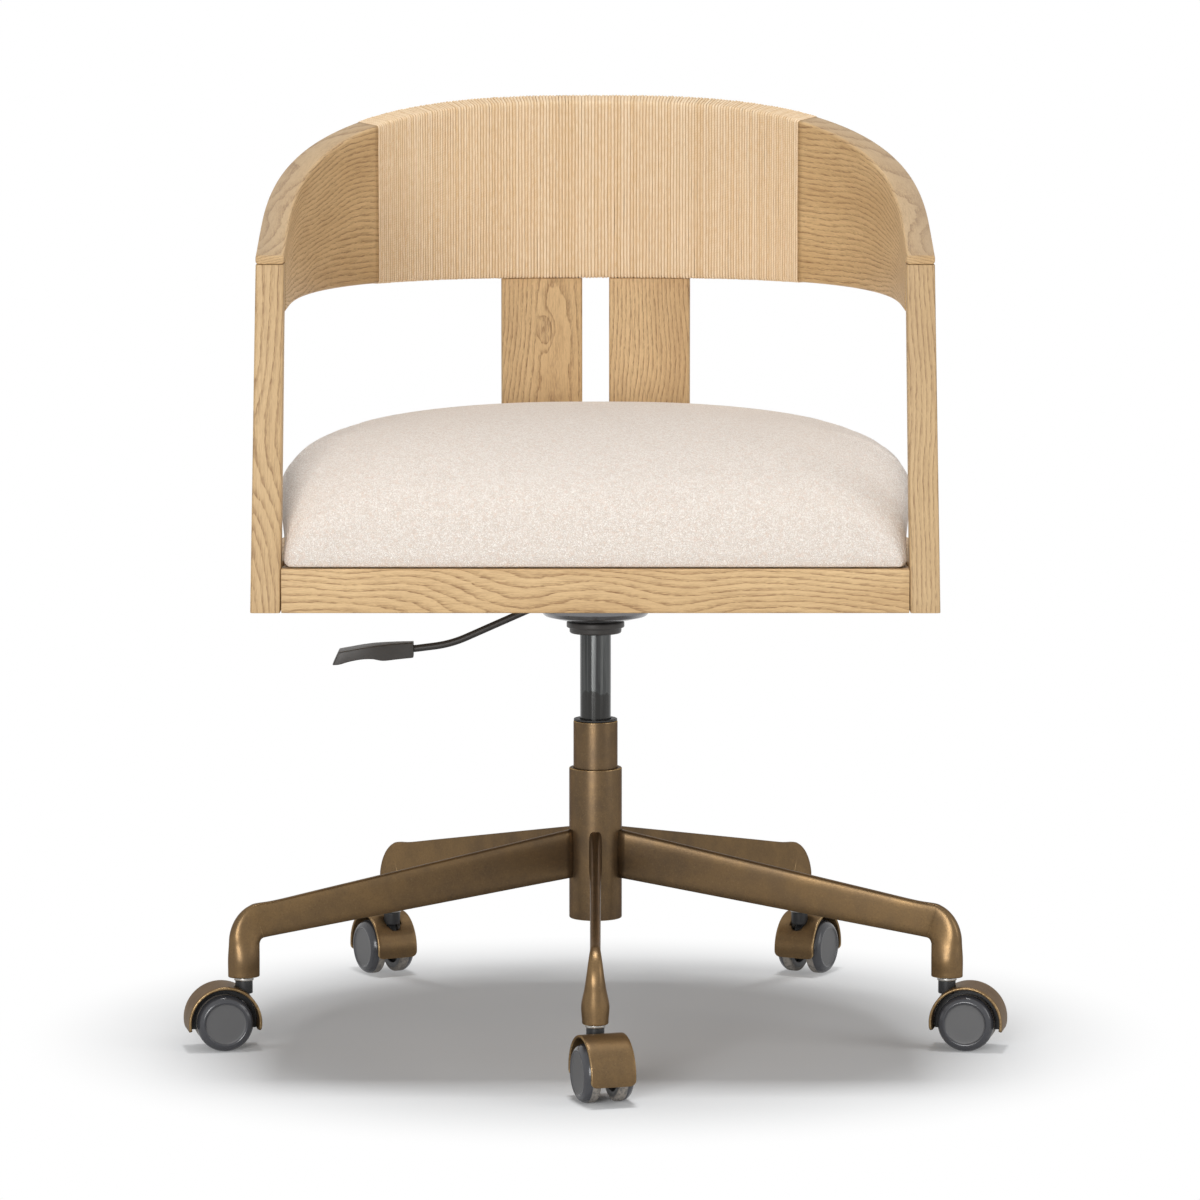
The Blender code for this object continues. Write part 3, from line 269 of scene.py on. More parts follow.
# %% Turned parts
def lathe_grid(profile, steps=64):
    """Radius and height of a profile, carried round the upright axis."""
    turn = np.linspace(0, math.tau, steps, endpoint=False)
    radius = profile[:, 0][:, None]
    height = np.broadcast_to(profile[:, 1][:, None], (len(profile), steps))
    return np.stack([radius * np.cos(turn), radius * np.sin(turn), height], 2)


def lathe_mesh(name, profile, steps=64, closed=True):
    """A closed profile makes a ring, an open one starts and ends on the axis with a tiny cap."""
    profile = np.asarray(profile, float)
    profile[:, 0] = np.maximum(profile[:, 0], 0.00002)
    along = distance_along(profile)
    return grid_mesh(name, lathe_grid(profile, steps), round_rows=closed, capped=not closed, along=along,
                     across=np.linspace(0, math.tau, steps, endpoint=False) * float(profile[:, 0].max()))


def moved(mesh, offset, turn=0.0):
    """The mesh turned about the upright axis, then moved."""
    x, y, z = mesh_places(mesh).T
    cosine, sine = math.cos(turn), math.sin(turn)
    return put_places(mesh, np.stack([x * cosine - y * sine, x * sine + y * cosine, z], 1) + offset)


# %% [markdown]
# ## Shader maths as plain sums
# A material's pattern is a formula, such as early wood times pores. Wiring each Math node by hand hides that
# formula, so a small class wraps a socket and turns every + or * into a node.


# %% A socket that takes part in sums
class Link:
    """The output socket of a node. Sums, products and comparisons with it add Math nodes."""

    def __init__(self, finish, socket):
        self.finish = finish
        self.socket = socket

    def math(self, operation, one, two=0.0):
        return self.finish.node("ShaderNodeMath", {"operation": operation}, {0: one, 1: two})

    def __add__(self, other):
        return self.math("ADD", self, other)

    __radd__ = __add__

    def __sub__(self, other):
        return self.math("SUBTRACT", self, other)

    def __rsub__(self, other):
        return self.math("SUBTRACT", other, self)

    def __mul__(self, other):
        return self.math("MULTIPLY", self, other)

    __rmul__ = __mul__

    def __truediv__(self, other):
        return self.math("DIVIDE", self, other)

    def __rtruediv__(self, other):
        return self.math("DIVIDE", other, self)

    def __pow__(self, other):
        return self.math("POWER", self, other)

    def sine(self):
        return self.math("SINE", self)

    def fraction(self):
        return self.math("FRACT", self)

    def root(self):
        return self.math("SQRT", self)

    def limited(self):
        return self.finish.node("ShaderNodeClamp", {}, {0: self})

    def ramp(self, low, high):
        """0 at low, 1 at high, smooth between."""
        return self.finish.node("ShaderNodeMapRange", {"interpolation_type": "SMOOTHSTEP"},
                                {"Value": self, "From Min": low, "From Max": high})


# %% A material under construction
class Finish:
    """A node material. node() makes any node; the rest are short names for the ones used most."""

    def __init__(self, name, colour, roughness, metallic=0.0):
        self.material = bpy.data.materials.new(name)
        self.material.use_nodes = True
        self.tree = self.material.node_tree
        self.shader = self.tree.nodes["Principled BSDF"]
        self.set("Base Color", (*colour, 1.0))
        self.set("Roughness", roughness)
        self.set("Metallic", metallic)

    def put(self, socket, value):
        if isinstance(value, Link):
            self.tree.links.new(value.socket, socket)
        else:
            socket.default_value = value

    def set(self, name, value):
        self.put(self.shader.inputs[name], value)

    def node(self, kind, settings, values, output=0):
        made = self.tree.nodes.new(kind)
        for key, value in settings.items():
            setattr(made, key, value)
        for key, value in values.items():
            self.put(made.inputs[key], value)
        return Link(self, made.outputs[output])

    def attribute(self, name, output="Fac"):
        return self.node("ShaderNodeAttribute", {"attribute_name": name}, {}, output)

    def object_place(self):
        return self.node("ShaderNodeTexCoord", {}, {}, "Object")

    def uv(self):
        return self.node("ShaderNodeUVMap", {"uv_map": "UVMap"}, {}, "UV")

    def parts(self, vector):
        made = self.tree.nodes.new("ShaderNodeSeparateXYZ")
        self.put(made.inputs[0], vector)
        return [Link(self, made.outputs[k]) for k in range(3)]

    def vector(self, x, y, z):
        return self.node("ShaderNodeCombineXYZ", {}, {0: x, 1: y, 2: z})

    def scaled(self, vector, scale):
        return self.node("ShaderNodeMapping", {}, {"Vector": vector, "Scale": scale})

    def noise(self, vector, scale, detail=2.0, roughness=0.5):
        return self.node("ShaderNodeTexNoise", {}, {"Vector": vector, "Scale": scale, "Detail": detail,
                                                    "Roughness": roughness})

    def stretched_noise(self, vector, scale, detail, roughness):
        """Noise with a scale of its own along each axis."""
        return self.noise(self.scaled(vector, scale), 1.0, detail, roughness)

    def cells(self, vector, scale):
        return self.node("ShaderNodeTexVoronoi", {}, {"Vector": vector, "Scale": scale})

    def noise_colour(self, vector, scale):
        return self.node("ShaderNodeTexNoise", {}, {"Vector": vector, "Scale": scale, "Detail": 1.0}, "Color")

    def mix(self, amount, one, two):
        one = one if isinstance(one, Link) else (*one, 1.0)
        two = two if isinstance(two, Link) else (*two, 1.0)
        return self.node("ShaderNodeMix", {"data_type": "RGBA"}, {0: amount, 6: one, 7: two}, 2)

    def bump(self, height, distance, strength):
        self.set("Normal", self.node("ShaderNodeBump", {}, {"Strength": strength, "Distance": distance,
                                                            "Height": height}))


# %% [markdown]
# ## Oak
# Oiled oak is honey coloured. Each year's ring starts with a thin band of open pores, which looks like a dark,
# broken line along the grain, and ends in smooth wood. A board cut beside the log's middle shows even lines,
# and one cut in line with it shows pointed arches. The pattern is worked out inside a log: the distance from
# its middle gives the ring, and each piece carries its own place in that log as an attribute, so that the
# grain follows a bent rail round.


# %% The oak finish
HONEY = (0.690, 0.474, 0.238)
LATE_WOOD = (0.550, 0.352, 0.160)
EARLY_WOOD = (0.310, 0.170, 0.070)
PORE = (0.200, 0.100, 0.040)
OAK_SHADE_AND_TONE = (0.300, 0.215, 0.135)
RING_SPACE = 0.0040
KNOT = (5.405, 0.008)


def oak_finish():
    oak = Finish("oak", HONEY, 0.55)
    place = oak.attribute("grain", "Vector")
    along, across, depth = oak.parts(place)
    bow = oak.stretched_noise(place, (4.6, 7.0, 7.0), 1.0, 0.5)
    wobble = oak.stretched_noise(place, (34.0, 110.0, 110.0), 2.0, 0.6)
    knot_square = ((along - KNOT[0]) / 0.015) ** 2.0 + ((across - KNOT[1]) / 0.007) ** 2.0
    knot = 1.0 / (1.0 + knot_square * knot_square)
    deep = depth + (bow - 0.5) * 0.060 + knot * 0.009
    side = across + (bow - 0.5) * 0.026
    ring = ((side * side + deep * deep).root() + (wobble - 0.5) * 0.0034) / RING_SPACE
    year = ring.fraction()
    early = (1.0 - year) ** 3.0 * year.ramp(0.0, 0.10)
    streak = oak.stretched_noise(place, (22.0, 620.0, 620.0), 3.0, 0.65)
    stroke = oak.stretched_noise(place, (60.0, 820.0, 820.0), 2.0, 0.6).ramp(0.40, 0.60)
    fibre = oak.stretched_noise(place, (60.0, 1300.0, 1300.0), 2.0, 0.6)
    dashes = oak.stretched_noise(place, (170.0, 2300.0, 2300.0), 1.0, 0.5)
    pores = (dashes.ramp(0.50, 0.62) * (early * 0.90 + 0.14) + (knot * stroke).ramp(0.45, 0.75) * 0.5).limited()
    tone = oak.stretched_noise(place, (5.0, 26.0, 26.0), 2.0, 0.5)
    wood = oak.mix(tone.ramp(0.3, 0.75) * 0.8, HONEY, LATE_WOOD)
    dark = early * (0.30 + stroke * 0.70) + streak.ramp(0.42, 0.78) * 0.36 + (fibre - 0.5) * 0.70 + knot * 0.12
    wood = oak.mix(dark.limited(), wood, EARLY_WOOD)
    wood = oak.mix(pores * 0.8, wood, PORE)
    # Painted shade on the bent rail's top face; on the posts the same attribute gives each post a darker tone.
    wood = oak.mix(oak.attribute("shade_and_tone") * 0.55, wood, OAK_SHADE_AND_TONE)
    wood = oak.mix(oak.attribute("edge") * 0.15, wood, EARLY_WOOD)
    oak.set("Base Color", wood)
    oak.set("Roughness", 0.52 + early * 0.14 + (fibre - 0.5) * 0.16)
    oak.bump(pores * -1.0 + (fibre - 0.5) * 0.25 - early * 0.25, 0.00035, 0.55)
    return oak.material


OAK = oak_finish()
print("oak nodes:", len(OAK.node_tree.nodes))


# %% Grain on a mesh
def grow_grain(mesh, along, across, depth, log):
    """Attribute "grain": each point's place in its log.

    The log is a shift along it, two places of its middle line, and a lean: depth grows by lean times along.
    """
    shift, beside, below, lean = log
    along = np.ravel(along)
    write_numbers(mesh, "grain", np.stack(
        [along + shift, np.ravel(across) + beside, np.ravel(depth) + below + lean * along], 1))


# %% [markdown]
# ## The bent back rail
# The real rail is laminated oak, bent into a barrel and sawn so that its top slopes up to the back. It could be
# cut out of a block, but carried as a section along the plan curve its grain runs round with it. The plan is a
# superellipse behind two straight arms. Under the cord winding the section is sunk, as the real one is.

# %% Sizes of the bent rail
ARM_OUT = float(RAIL_HIGH[0])
BACK_REACH = float(RAIL_HIGH[1])
FRONT = float(RAIL_LOW[1])
RAIL_FOOT = float(RAIL_LOW[2])
CURVE_START = -0.200
CURVE_POWER = 2.7
WALL = 0.0240
TOP_FRONT = 0.7100
TOP_SLOPE = 0.230
CORD_BED = 0.0022
WRAP_FROM, WRAP_TO = 61.0, 122.0
POST_DEPTH = float(POST_HIGH[1] - POST_LOW[1])
POST_HEAD = float(POST_HIGH[2])


# %% Plan curves
def plan_curve(out, back, angles):
    """Points and outward normals of |x/out|^p + |y/depth|^p = 1, at plan angles in degrees."""
    turn = np.radians(angles)
    depth = back - CURVE_START
    cosine, sine = np.cos(turn), np.sin(turn)
    scale = (np.abs(cosine / out) ** CURVE_POWER + np.abs(sine / depth) ** CURVE_POWER) ** (-1 / CURVE_POWER)
    x, y = scale * cosine, scale * sine
    normal = np.stack([np.sign(x) * np.abs(x / out) ** (CURVE_POWER - 1) / out,
                       np.sign(y) * np.abs(y / depth) ** (CURVE_POWER - 1) / depth], 1)
    normal /= np.linalg.norm(normal, axis=1, keepdims=True)
    return np.stack([x, CURVE_START + y], 1), normal


def barrel_stations(out, back, front_places, angles):
    """Plan points and normals: up the right arm, round the curve, down the left arm."""
    right = np.stack([np.full(len(front_places), out), front_places], 1)
    curve, normals = plan_curve(out, back, angles)
    left = right[::-1] * [-1, 1]
    ahead = np.tile([1.0, 0.0], (len(right), 1))
    return np.vstack([right, curve, left]), np.vstack([ahead, normals, -ahead])


def rail_top(y):
    return TOP_FRONT + TOP_SLOPE * (y - FRONT)


# %% Outline of a rail in its own measures
def outline_part(depth_share, depth_offset, height_share, height_offset):
    count = len(depth_offset)
    return np.stack([np.full(count, depth_share), depth_offset, height_share + 0 * depth_offset,
                     height_offset + 0 * depth_offset], 1)


def rail_outline(radius, corner_steps=6, face_steps=8):
    """Rows of depth share, depth offset, height share, height offset.

    A quarter circle of one radius stands at each corner, and straight runs join them.
    """
    opening, closing = quarter(radius, corner_steps)
    run = np.linspace(0.08, 0.92, face_steps)
    level = np.zeros(face_steps)
    return np.vstack([
        outline_part(0, opening, 0, closing),
        outline_part(1, -closing, 0, opening),
        outline_part(1, level, run, 0),
        outline_part(1, -opening, 1, -closing),
        outline_part(0, closing, 1, -opening),
        outline_part(0, level, run[::-1], 0),
    ])


def rail_grid(points, normals, outline, wall, low, top, sink):
    """Each station sets the outline square to the plan curve, sunk all round by its own sink.

    Where the rail is low its corners get smaller, so that they never pass four tenths of its height, and the
    points between two corners move closer together, so that they stay between them.
    """
    sink = np.asarray(sink)[:, None]
    foot = np.asarray(low)[:, None] + sink
    corner = np.abs(outline[:, 3]).max()
    height = top(points[:, 1:]) - sink - foot
    part = np.clip(0.40 * height / corner, 0, 1)
    between = (outline[:, 2] > 0) & (outline[:, 2] < 1)
    first = outline[between, 2].min()
    margin = np.maximum(first, 1.05 * corner * part / height)
    share = np.where(between, margin + (outline[:, 2] - first) / (1 - 2 * first) * (1 - 2 * margin), outline[:, 2])
    inset = sink + outline[:, 0] * (wall - 2 * sink) + outline[:, 1] * part
    x = points[:, :1] - normals[:, :1] * inset
    y = points[:, 1:] - normals[:, 1:] * inset
    z = foot + share * (top(y) - sink - foot) + outline[:, 3] * part
    return np.stack([x, y, z], 2), inset


# %% Stations of the bent rail
entry, shrink = quarter(0.0010, 6)
lap = FRONT + POST_DEPTH + GAP
arm_places = [lap - 0.006, lap, lap + 0.00001, lap + 0.002, -0.235, -0.22, -0.21]
front_places = np.concatenate([FRONT + entry, arm_places])
end_sink = np.concatenate([shrink, np.zeros(len(arm_places))])
end_low = np.where(front_places <= lap, POST_HEAD + GAP, RAIL_FOOT)
arm_angles = np.linspace(0, WRAP_FROM, 60)
bed_angles = np.linspace(WRAP_FROM + 0.02, WRAP_TO - 0.02, 80)
rail_angles = np.concatenate([arm_angles, bed_angles, np.linspace(WRAP_TO, 180, 60)])
curve_sink = np.concatenate([arm_angles * 0, bed_angles * 0 + CORD_BED, arm_angles * 0])
points, normals = barrel_stations(ARM_OUT, BACK_REACH, front_places, rail_angles)
sink = np.concatenate([end_sink, curve_sink, end_sink[::-1]])
low = np.concatenate([end_low, curve_sink * 0 + RAIL_FOOT, end_low[::-1]])
outline = rail_outline(0.0026)
rail, inset = rail_grid(points, normals, outline, WALL, low, rail_top, sink)
run = distance_along(points)
print("bent rail:", rail.shape, "stations by points, length round the curve", round(float(run[-1]), 3))

# %% The bent rail's mesh
rail_mesh = grid_mesh("bent_rail", rail + AXIS, along=run)
roof = rail_top(rail[:, :, 1])
rise = (rail[:, :, 2] - RAIL_FOOT) / (roof - RAIL_FOOT)
fan = 1.9 * (rail[:, :, 2] - 0.70 - 0.85 * rise * (roof - TOP_FRONT))
grow_grain(rail_mesh, run[:, None] + 0 * inset, fan, WALL / 2 - inset, (0.7, 0.135, 0.050, 0.0))
# Painted shade: the top face is darker, except its innermost edge.
shade_and_tone = np.clip(rise * 40 - 39.0, 0, 1) * np.clip((0.0225 - inset) / 0.002, 0, 1)
write_numbers(rail_mesh, "shade_and_tone", shade_and_tone.ravel())
piece("bent_rail", rail_mesh, "seat", OAK, "back_rail")

# %% [markdown]
# ## The cord winding
# Paper cord is wound tightly round the middle of the rail, about a hundred and fifty turns side by side. Each
# turn could be a curve of its own, but a skin with one round ridge for each turn has the same look with far
# fewer faces: its height over the bed is a half circle across each turn. Small shifts keep it handmade.

# %% Places of the turns
CORD_RADIUS = 0.0013
CORD_WIDTH = 0.00306
dense = np.linspace(WRAP_FROM, WRAP_TO, 2000)
dense_points, _ = plan_curve(ARM_OUT, BACK_REACH, dense)
dense_run = distance_along(dense_points)
TURNS = round(float(dense_run[-1]) / CORD_WIDTH)
PITCH = float(dense_run[-1]) / TURNS
chance = np.random.default_rng(7)
across_turn = np.array([0.03, 0.17, 0.34, 0.5, 0.66, 0.83, 0.97])
turn_number = np.repeat(np.arange(TURNS), len(across_turn))
phase = np.tile(across_turn, TURNS)
turn_lift = chance.normal(0, 0.00010, TURNS)[turn_number]
ridge = CORD_RADIUS * np.sqrt(1 - (2 * phase - 1) ** 2)
print("turns of cord:", TURNS, "pitch in mm", round(PITCH * 1000, 2))

# %% The winding's skin
outline = rail_outline(0.0030, 6, 14)
turn_angle = np.interp((turn_number + phase) * PITCH, dense_run, dense)
inner_angle = np.linspace(WRAP_TO, WRAP_FROM, 60)
points, normals = plan_curve(ARM_OUT, BACK_REACH, np.concatenate([turn_angle, inner_angle]))
outer_sink = CORD_BED - CORD_RADIUS - 0.0003 - ridge - turn_lift
sink = np.concatenate([outer_sink, inner_angle * 0 + CORD_BED + 0.0006])
skin, inset = rail_grid(points, normals, outline, WALL, points[:, 0] * 0 + RAIL_FOOT, rail_top, sink)
round_way = distance_along(skin[0])
wander = chance.uniform(0, math.tau, TURNS)[turn_number][:, None]
drift = 0.00016 * np.sin(round_way[None, :] * 41 + wander) + 0.00010 * np.sin(round_way[None, :] * 97 + wander * 3)
tangent = np.stack([-normals[:, 1], normals[:, 0]], 1)
rows = len(turn_number)
skin[:rows, :, 0] += tangent[:rows, :1] * drift
skin[:rows, :, 1] += tangent[:rows, 1:] * drift
print("winding:", skin.shape)

# %% The winding's mesh, with each point's place on its cord
cord_mesh = grid_mesh("cord_winding", skin + AXIS, round_rows=True)
all_phase = np.concatenate([phase, inner_angle * 0])[:, None] + 0 * inset
all_chance = np.concatenate([chance.uniform(0, 1, TURNS)[turn_number], inner_angle * 0])[:, None] + 0 * inset
write_numbers(cord_mesh, "cord", np.stack(
    [(round_way[None, :] + 0 * inset).ravel(), all_phase.ravel(), all_chance.ravel()], 1))

# %% [markdown]
# ## Paper cord
# Paper cord is twisted from strips of brown paper: pale tan, with slanting strands. The strands are a sine of the
# place along the cord plus the place across it. The shade in the valleys between the turns and between the
# strands is painted into the colour.


# %% The cord finish
TAN = (0.880, 0.705, 0.495)
DEEP_TAN_AND_STRAND_SHADE = (0.690, 0.455, 0.220)
VALLEY_SHADE = (0.430, 0.230, 0.085)


def cord_finish():
    cord = Finish("paper_cord", TAN, 0.75)
    along, across, chance_value = cord.parts(cord.attribute("cord", "Vector"))
    rise = (across * (1.0 - across) * 4.0).root()
    strand = ((along / 0.0021 + across * 0.9 + chance_value) * math.tau).sine() * 0.5 + 0.5
    place = cord.vector(along * 180.0, across * 0.6, chance_value * 50.0)
    mottle = cord.noise(place, 1.0, 2.0, 0.6)
    # Darker between the strands: painted shade, besides the random tone from chance and mottle.
    tone = (chance_value * 0.40 + (mottle - 0.5) * 1.0 + strand.ramp(0.35, 0.0) * 0.35).limited()
    colour = cord.mix(tone, TAN, DEEP_TAN_AND_STRAND_SHADE)
    # Painted shade in the valleys between the turns.
    colour = cord.mix(rise.ramp(0.93, 0.35) * 0.85, colour, VALLEY_SHADE)
    cord.set("Base Color", colour)
    cord.set("Roughness", 0.62 + mottle * 0.2)
    cord.bump(strand, 0.00018, 0.8)
    return cord.material


piece("cord_winding", cord_mesh, "seat", cord_finish(), "cord_wrap")

# %% [markdown]
# ## Straight oak bars
# The posts, the front rail and the splats are straight bars with eased edges. Each is a rounded rectangle
# carried along a line, which may change size from one end to the other, as the posts do.


# %% A bar with eased edges and ends
def bar_grid(start, end, side, face, half_sides, half_faces, radius, ease=0.0006, steps=6, stations=24):
    """Rounded rectangle along a line. Near each end it shrinks by a quarter circle of the ease."""
    start, end, side, face = (np.asarray(v, float) for v in (start, end, side, face))
    length = float(np.linalg.norm(end - start))
    entry, shrink = quarter(ease, 5)
    inside = np.linspace(ease, length - ease, stations)[1:-1]
    place = np.concatenate([entry, inside, length - entry[::-1]])
    less = np.concatenate([shrink, inside * 0, shrink[::-1]])
    share = place / length
    wide = half_sides[0] + (half_sides[1] - half_sides[0]) * share - less
    thick = half_faces[0] + (half_faces[1] - half_faces[0]) * share - less
    toward, cosine, sine = corner_ring(steps)
    a = toward[:, 0] * (wide[:, None] - radius) + radius * cosine
    b = toward[:, 1] * (thick[:, None] - radius) + radius * sine
    centre = start + (end - start) * share[:, None]
    grid = centre[:, None, :] + a[:, :, None] * side + b[:, :, None] * face
    return grid, place[:, None] + 0 * a, a, b


def oak_bar(name, node, log, *measures, shade_and_tone=0.0, **options):
    grid, along, across, depth = bar_grid(*measures, **options)
    mesh = grid_mesh(name, grid + AXIS, along=along[:, 0])
    grow_grain(mesh, along, across, depth, log)
    write_numbers(mesh, "shade_and_tone", np.full(len(mesh.vertices), shade_and_tone))
    piece(name, mesh, "seat", OAK, node)


# %% Posts, front rail
FOOT_WIDTH, HEAD_WIDTH = 0.0255, 0.0240
FOOT_OUT = float(POST_HIGH[0])
POST_Y = FRONT + POST_DEPTH / 2
POST_TONES = {"left": 0.28, "right": 0.42}
POST_LOGS = {"left": (1.7, 0.034, 0.052, 0.020), "right": (2.3, 0.092, 0.016, 0.0)}
for name, sign in (("left", -1), ("right", 1)):
    foot = (sign * (FOOT_OUT - FOOT_WIDTH / 2), POST_Y, POST_LOW[2])
    head = (sign * (ARM_OUT - HEAD_WIDTH / 2), POST_Y, POST_HEAD)
    oak_bar(f"{name}_oak_post", f"{name}_post", POST_LOGS[name], foot, head, (1, 0, 0), (0, 1, 0),
            (FOOT_WIDTH / 2, HEAD_WIDTH / 2), (POST_DEPTH / 2,) * 2, 0.0022, shade_and_tone=POST_TONES[name])
SILL_LOG = (3.4, 0.050, 0.074, 0.030)
_, sill_y, sill_z = (SILL_LOW + SILL_HIGH) / 2
_, half_depth, half_height = (SILL_HIGH - SILL_LOW) / 2
oak_bar("oak_front_rail", "front_rail", SILL_LOG, (SILL_LOW[0], sill_y, sill_z), (SILL_HIGH[0], sill_y, sill_z),
        (0, 0, 1), (0, 1, 0), (half_height,) * 2, (half_depth,) * 2, 0.0016, stations=60)

# %% Splats
SPLAT_WIDTH, SPLAT_THICK, SPLAT_SPACE = 0.0743, 0.0160, 0.0245
SEAT_OUT, SEAT_BACK = float(SEAT_HIGH[0]), float(SEAT_HIGH[1])
splat_top = heights("left_splat")[1]
SPLAT_LOGS = {"left": (5.2, 0.012, 0.030, 0.070), "right": (6.1, 0.090, 0.030, 0.060)}
for name, sign in (("left", -1), ("right", 1)):
    middle_x = sign * (SPLAT_SPACE + SPLAT_WIDTH) / 2
    angle = math.degrees(math.atan2(SEAT_BACK - CURVE_START, middle_x))
    point, normal = (row[0] for row in plan_curve(SEAT_OUT, SEAT_BACK, np.array([angle])))
    place = point + normal * (GAP + SPLAT_THICK / 2)
    side = (-normal[1], normal[0], 0)
    oak_bar(f"{name}_oak_splat", f"{name}_splat", SPLAT_LOGS[name], (*place, SEAT_LOW[2]), (*place, splat_top),
            side, (*normal, 0), (SPLAT_WIDTH / 2,) * 2, (SPLAT_THICK / 2,) * 2, 0.0022, stations=60)

# %% The curved seat rail
front_places = np.array([float(SEAT_LOW[1]), -0.235, -0.22])
points, normals = barrel_stations(SEAT_OUT, SEAT_BACK, front_places, np.linspace(0, 180, 150))
outline = rail_outline(0.0016, 5, 4)
flat_top = float(SEAT_HIGH[2])
grid, inset = rail_grid(points, normals, outline, WALL, points[:, 0] * 0 + SEAT_LOW[2],
                        lambda y: flat_top + 0 * y, points[:, 0] * 0)
run = distance_along(points)
mesh = grid_mesh("curved_seat_rail", grid + AXIS, along=run)
grow_grain(mesh, run[:, None] + 0 * inset, grid[:, :, 2] - 0.42, WALL / 2 - inset, (8.4, 0.080, 0.040, 0.0))
piece("curved_seat_rail", mesh, "seat", OAK, "seat_rail")

# %% [markdown]
# ## The cushion
# The pad is a foam block on a board, with cloth pulled over it and under its rim. It could be shaped by hand,
# but real cloth finds its own crown: the pad below is blown up a little by a cloth simulation, as foam does to
# its cover, and then one subdivision smooths it. It starts a few millimetres lower than the solid.

# %% The pad's starting shape
PAD_FRONT = float(PAD_LOW[1])
PAD_HALF = float(PAD_HIGH[0]) + 0.0012
PAD_BACK = float(PAD_HIGH[1])
PAD_FOOT = float(PAD_LOW[2])
SWELL_ROOM = 0.0070
PAD_RISE = float(PAD_HIGH[2] - PAD_LOW[2]) - SWELL_ROOM
PAD_MIDDLE = -0.030
POST_BACK = FRONT + POST_DEPTH + 0.002
# Share of the outline kept at the sides and at the front, share of the height, radius of the front corners.
PAD_LEVELS = [
    (0.992, 0.996, 0.001, 0.008), (0.997, 0.999, 0.004, 0.008), (1.0, 1.0, 0.026, 0.008),
    (1.0, 0.999, 0.08, 0.010), (1.0, 0.993, 0.18, 0.018), (1.0, 0.978, 0.30, 0.032),
    (1.0, 0.950, 0.42, 0.050), (1.0, 0.915, 0.52, 0.066), (0.997, 0.870, 0.61, 0.080),
    (0.980, 0.810, 0.69, 0.092), (0.940, 0.735, 0.77, 0.100), (0.865, 0.64, 0.845, 0.106),
    (0.74, 0.53, 0.905, 0.110), (0.56, 0.40, 0.952, 0.112), (0.34, 0.25, 0.985, 0.112),
    (0.12, 0.09, 0.999, 0.112), (0.004, 0.004, 1.0, 0.112),
]


def pad_outline(corner):
    """Straight front, round front corners, straight sides and the frame's curve behind."""
    turn = np.radians(np.linspace(-90, 0, 12))
    bend = np.stack([PAD_HALF - corner + corner * np.cos(turn), PAD_FRONT + corner + corner * np.sin(turn)], 1)
    side = np.stack([np.full(16, PAD_HALF), np.linspace(PAD_FRONT + corner, CURVE_START, 18)[1:-1]], 1)
    curve, _ = plan_curve(PAD_HALF, PAD_BACK, np.linspace(0, 90, 60))
    right = np.vstack([bend, side, curve])
    front = np.stack([np.linspace(-1, 1, 60)[1:-1] * (PAD_HALF - corner), np.full(58, PAD_FRONT)], 1)
    return np.vstack([right, (right * [-1, 1])[-2::-1], front])


def pad_grid(shrink):
    """Each level is an outline drawn towards the middle, by one share at its sides and another at its front.

    The front corners get rounder from level to level, so that the seat falls away to two low, sharp corners.
    Behind the posts the sides bulge by a parabola of the height.
    """
    side, front, rise, corner = smooth_path(PAD_LEVELS, 70).T
    arm = np.stack([pad_outline(radius) for radius in corner]) - [0.0, PAD_MIDDLE]
    arm = arm * (1 - shrink / np.linalg.norm(arm, axis=2, keepdims=True))
    ahead = np.where(arm[:, :, 1] < 0, front[:, None], side[:, None])
    behind_posts = np.clip((arm[:, :, 1] + PAD_MIDDLE - POST_BACK) / 0.045, 0, 1)
    bulge = 1 + 0.088 * (rise * (1 - rise))[:, None] * behind_posts ** 2 * (3 - 2 * behind_posts)
    height = PAD_FOOT + 0.0005 + (PAD_RISE - 0.0005 - shrink) * rise
    return np.dstack([arm[:, :, 0] * side[:, None] * bulge, PAD_MIDDLE + arm[:, :, 1] * ahead,
                      np.broadcast_to(height[:, None], ahead.shape)])



# %% Blowing the pad up
def only(item):
    bpy.ops.object.select_all(action="DESELECT")
    item.select_set(True)
    bpy.context.view_layer.objects.active = item


def even_pad(grid, voxel):
    """The pad's surface as even quads of one voxel each."""
    item = new_object("pad_start", grid_mesh("pad_start", grid))
    only(item)
    remesh = item.modifiers.new("Remesh", "REMESH")
    remesh.mode = "VOXEL"
    remesh.voxel_size = voxel
    bpy.ops.object.modifier_apply(modifier="Remesh")
    return item


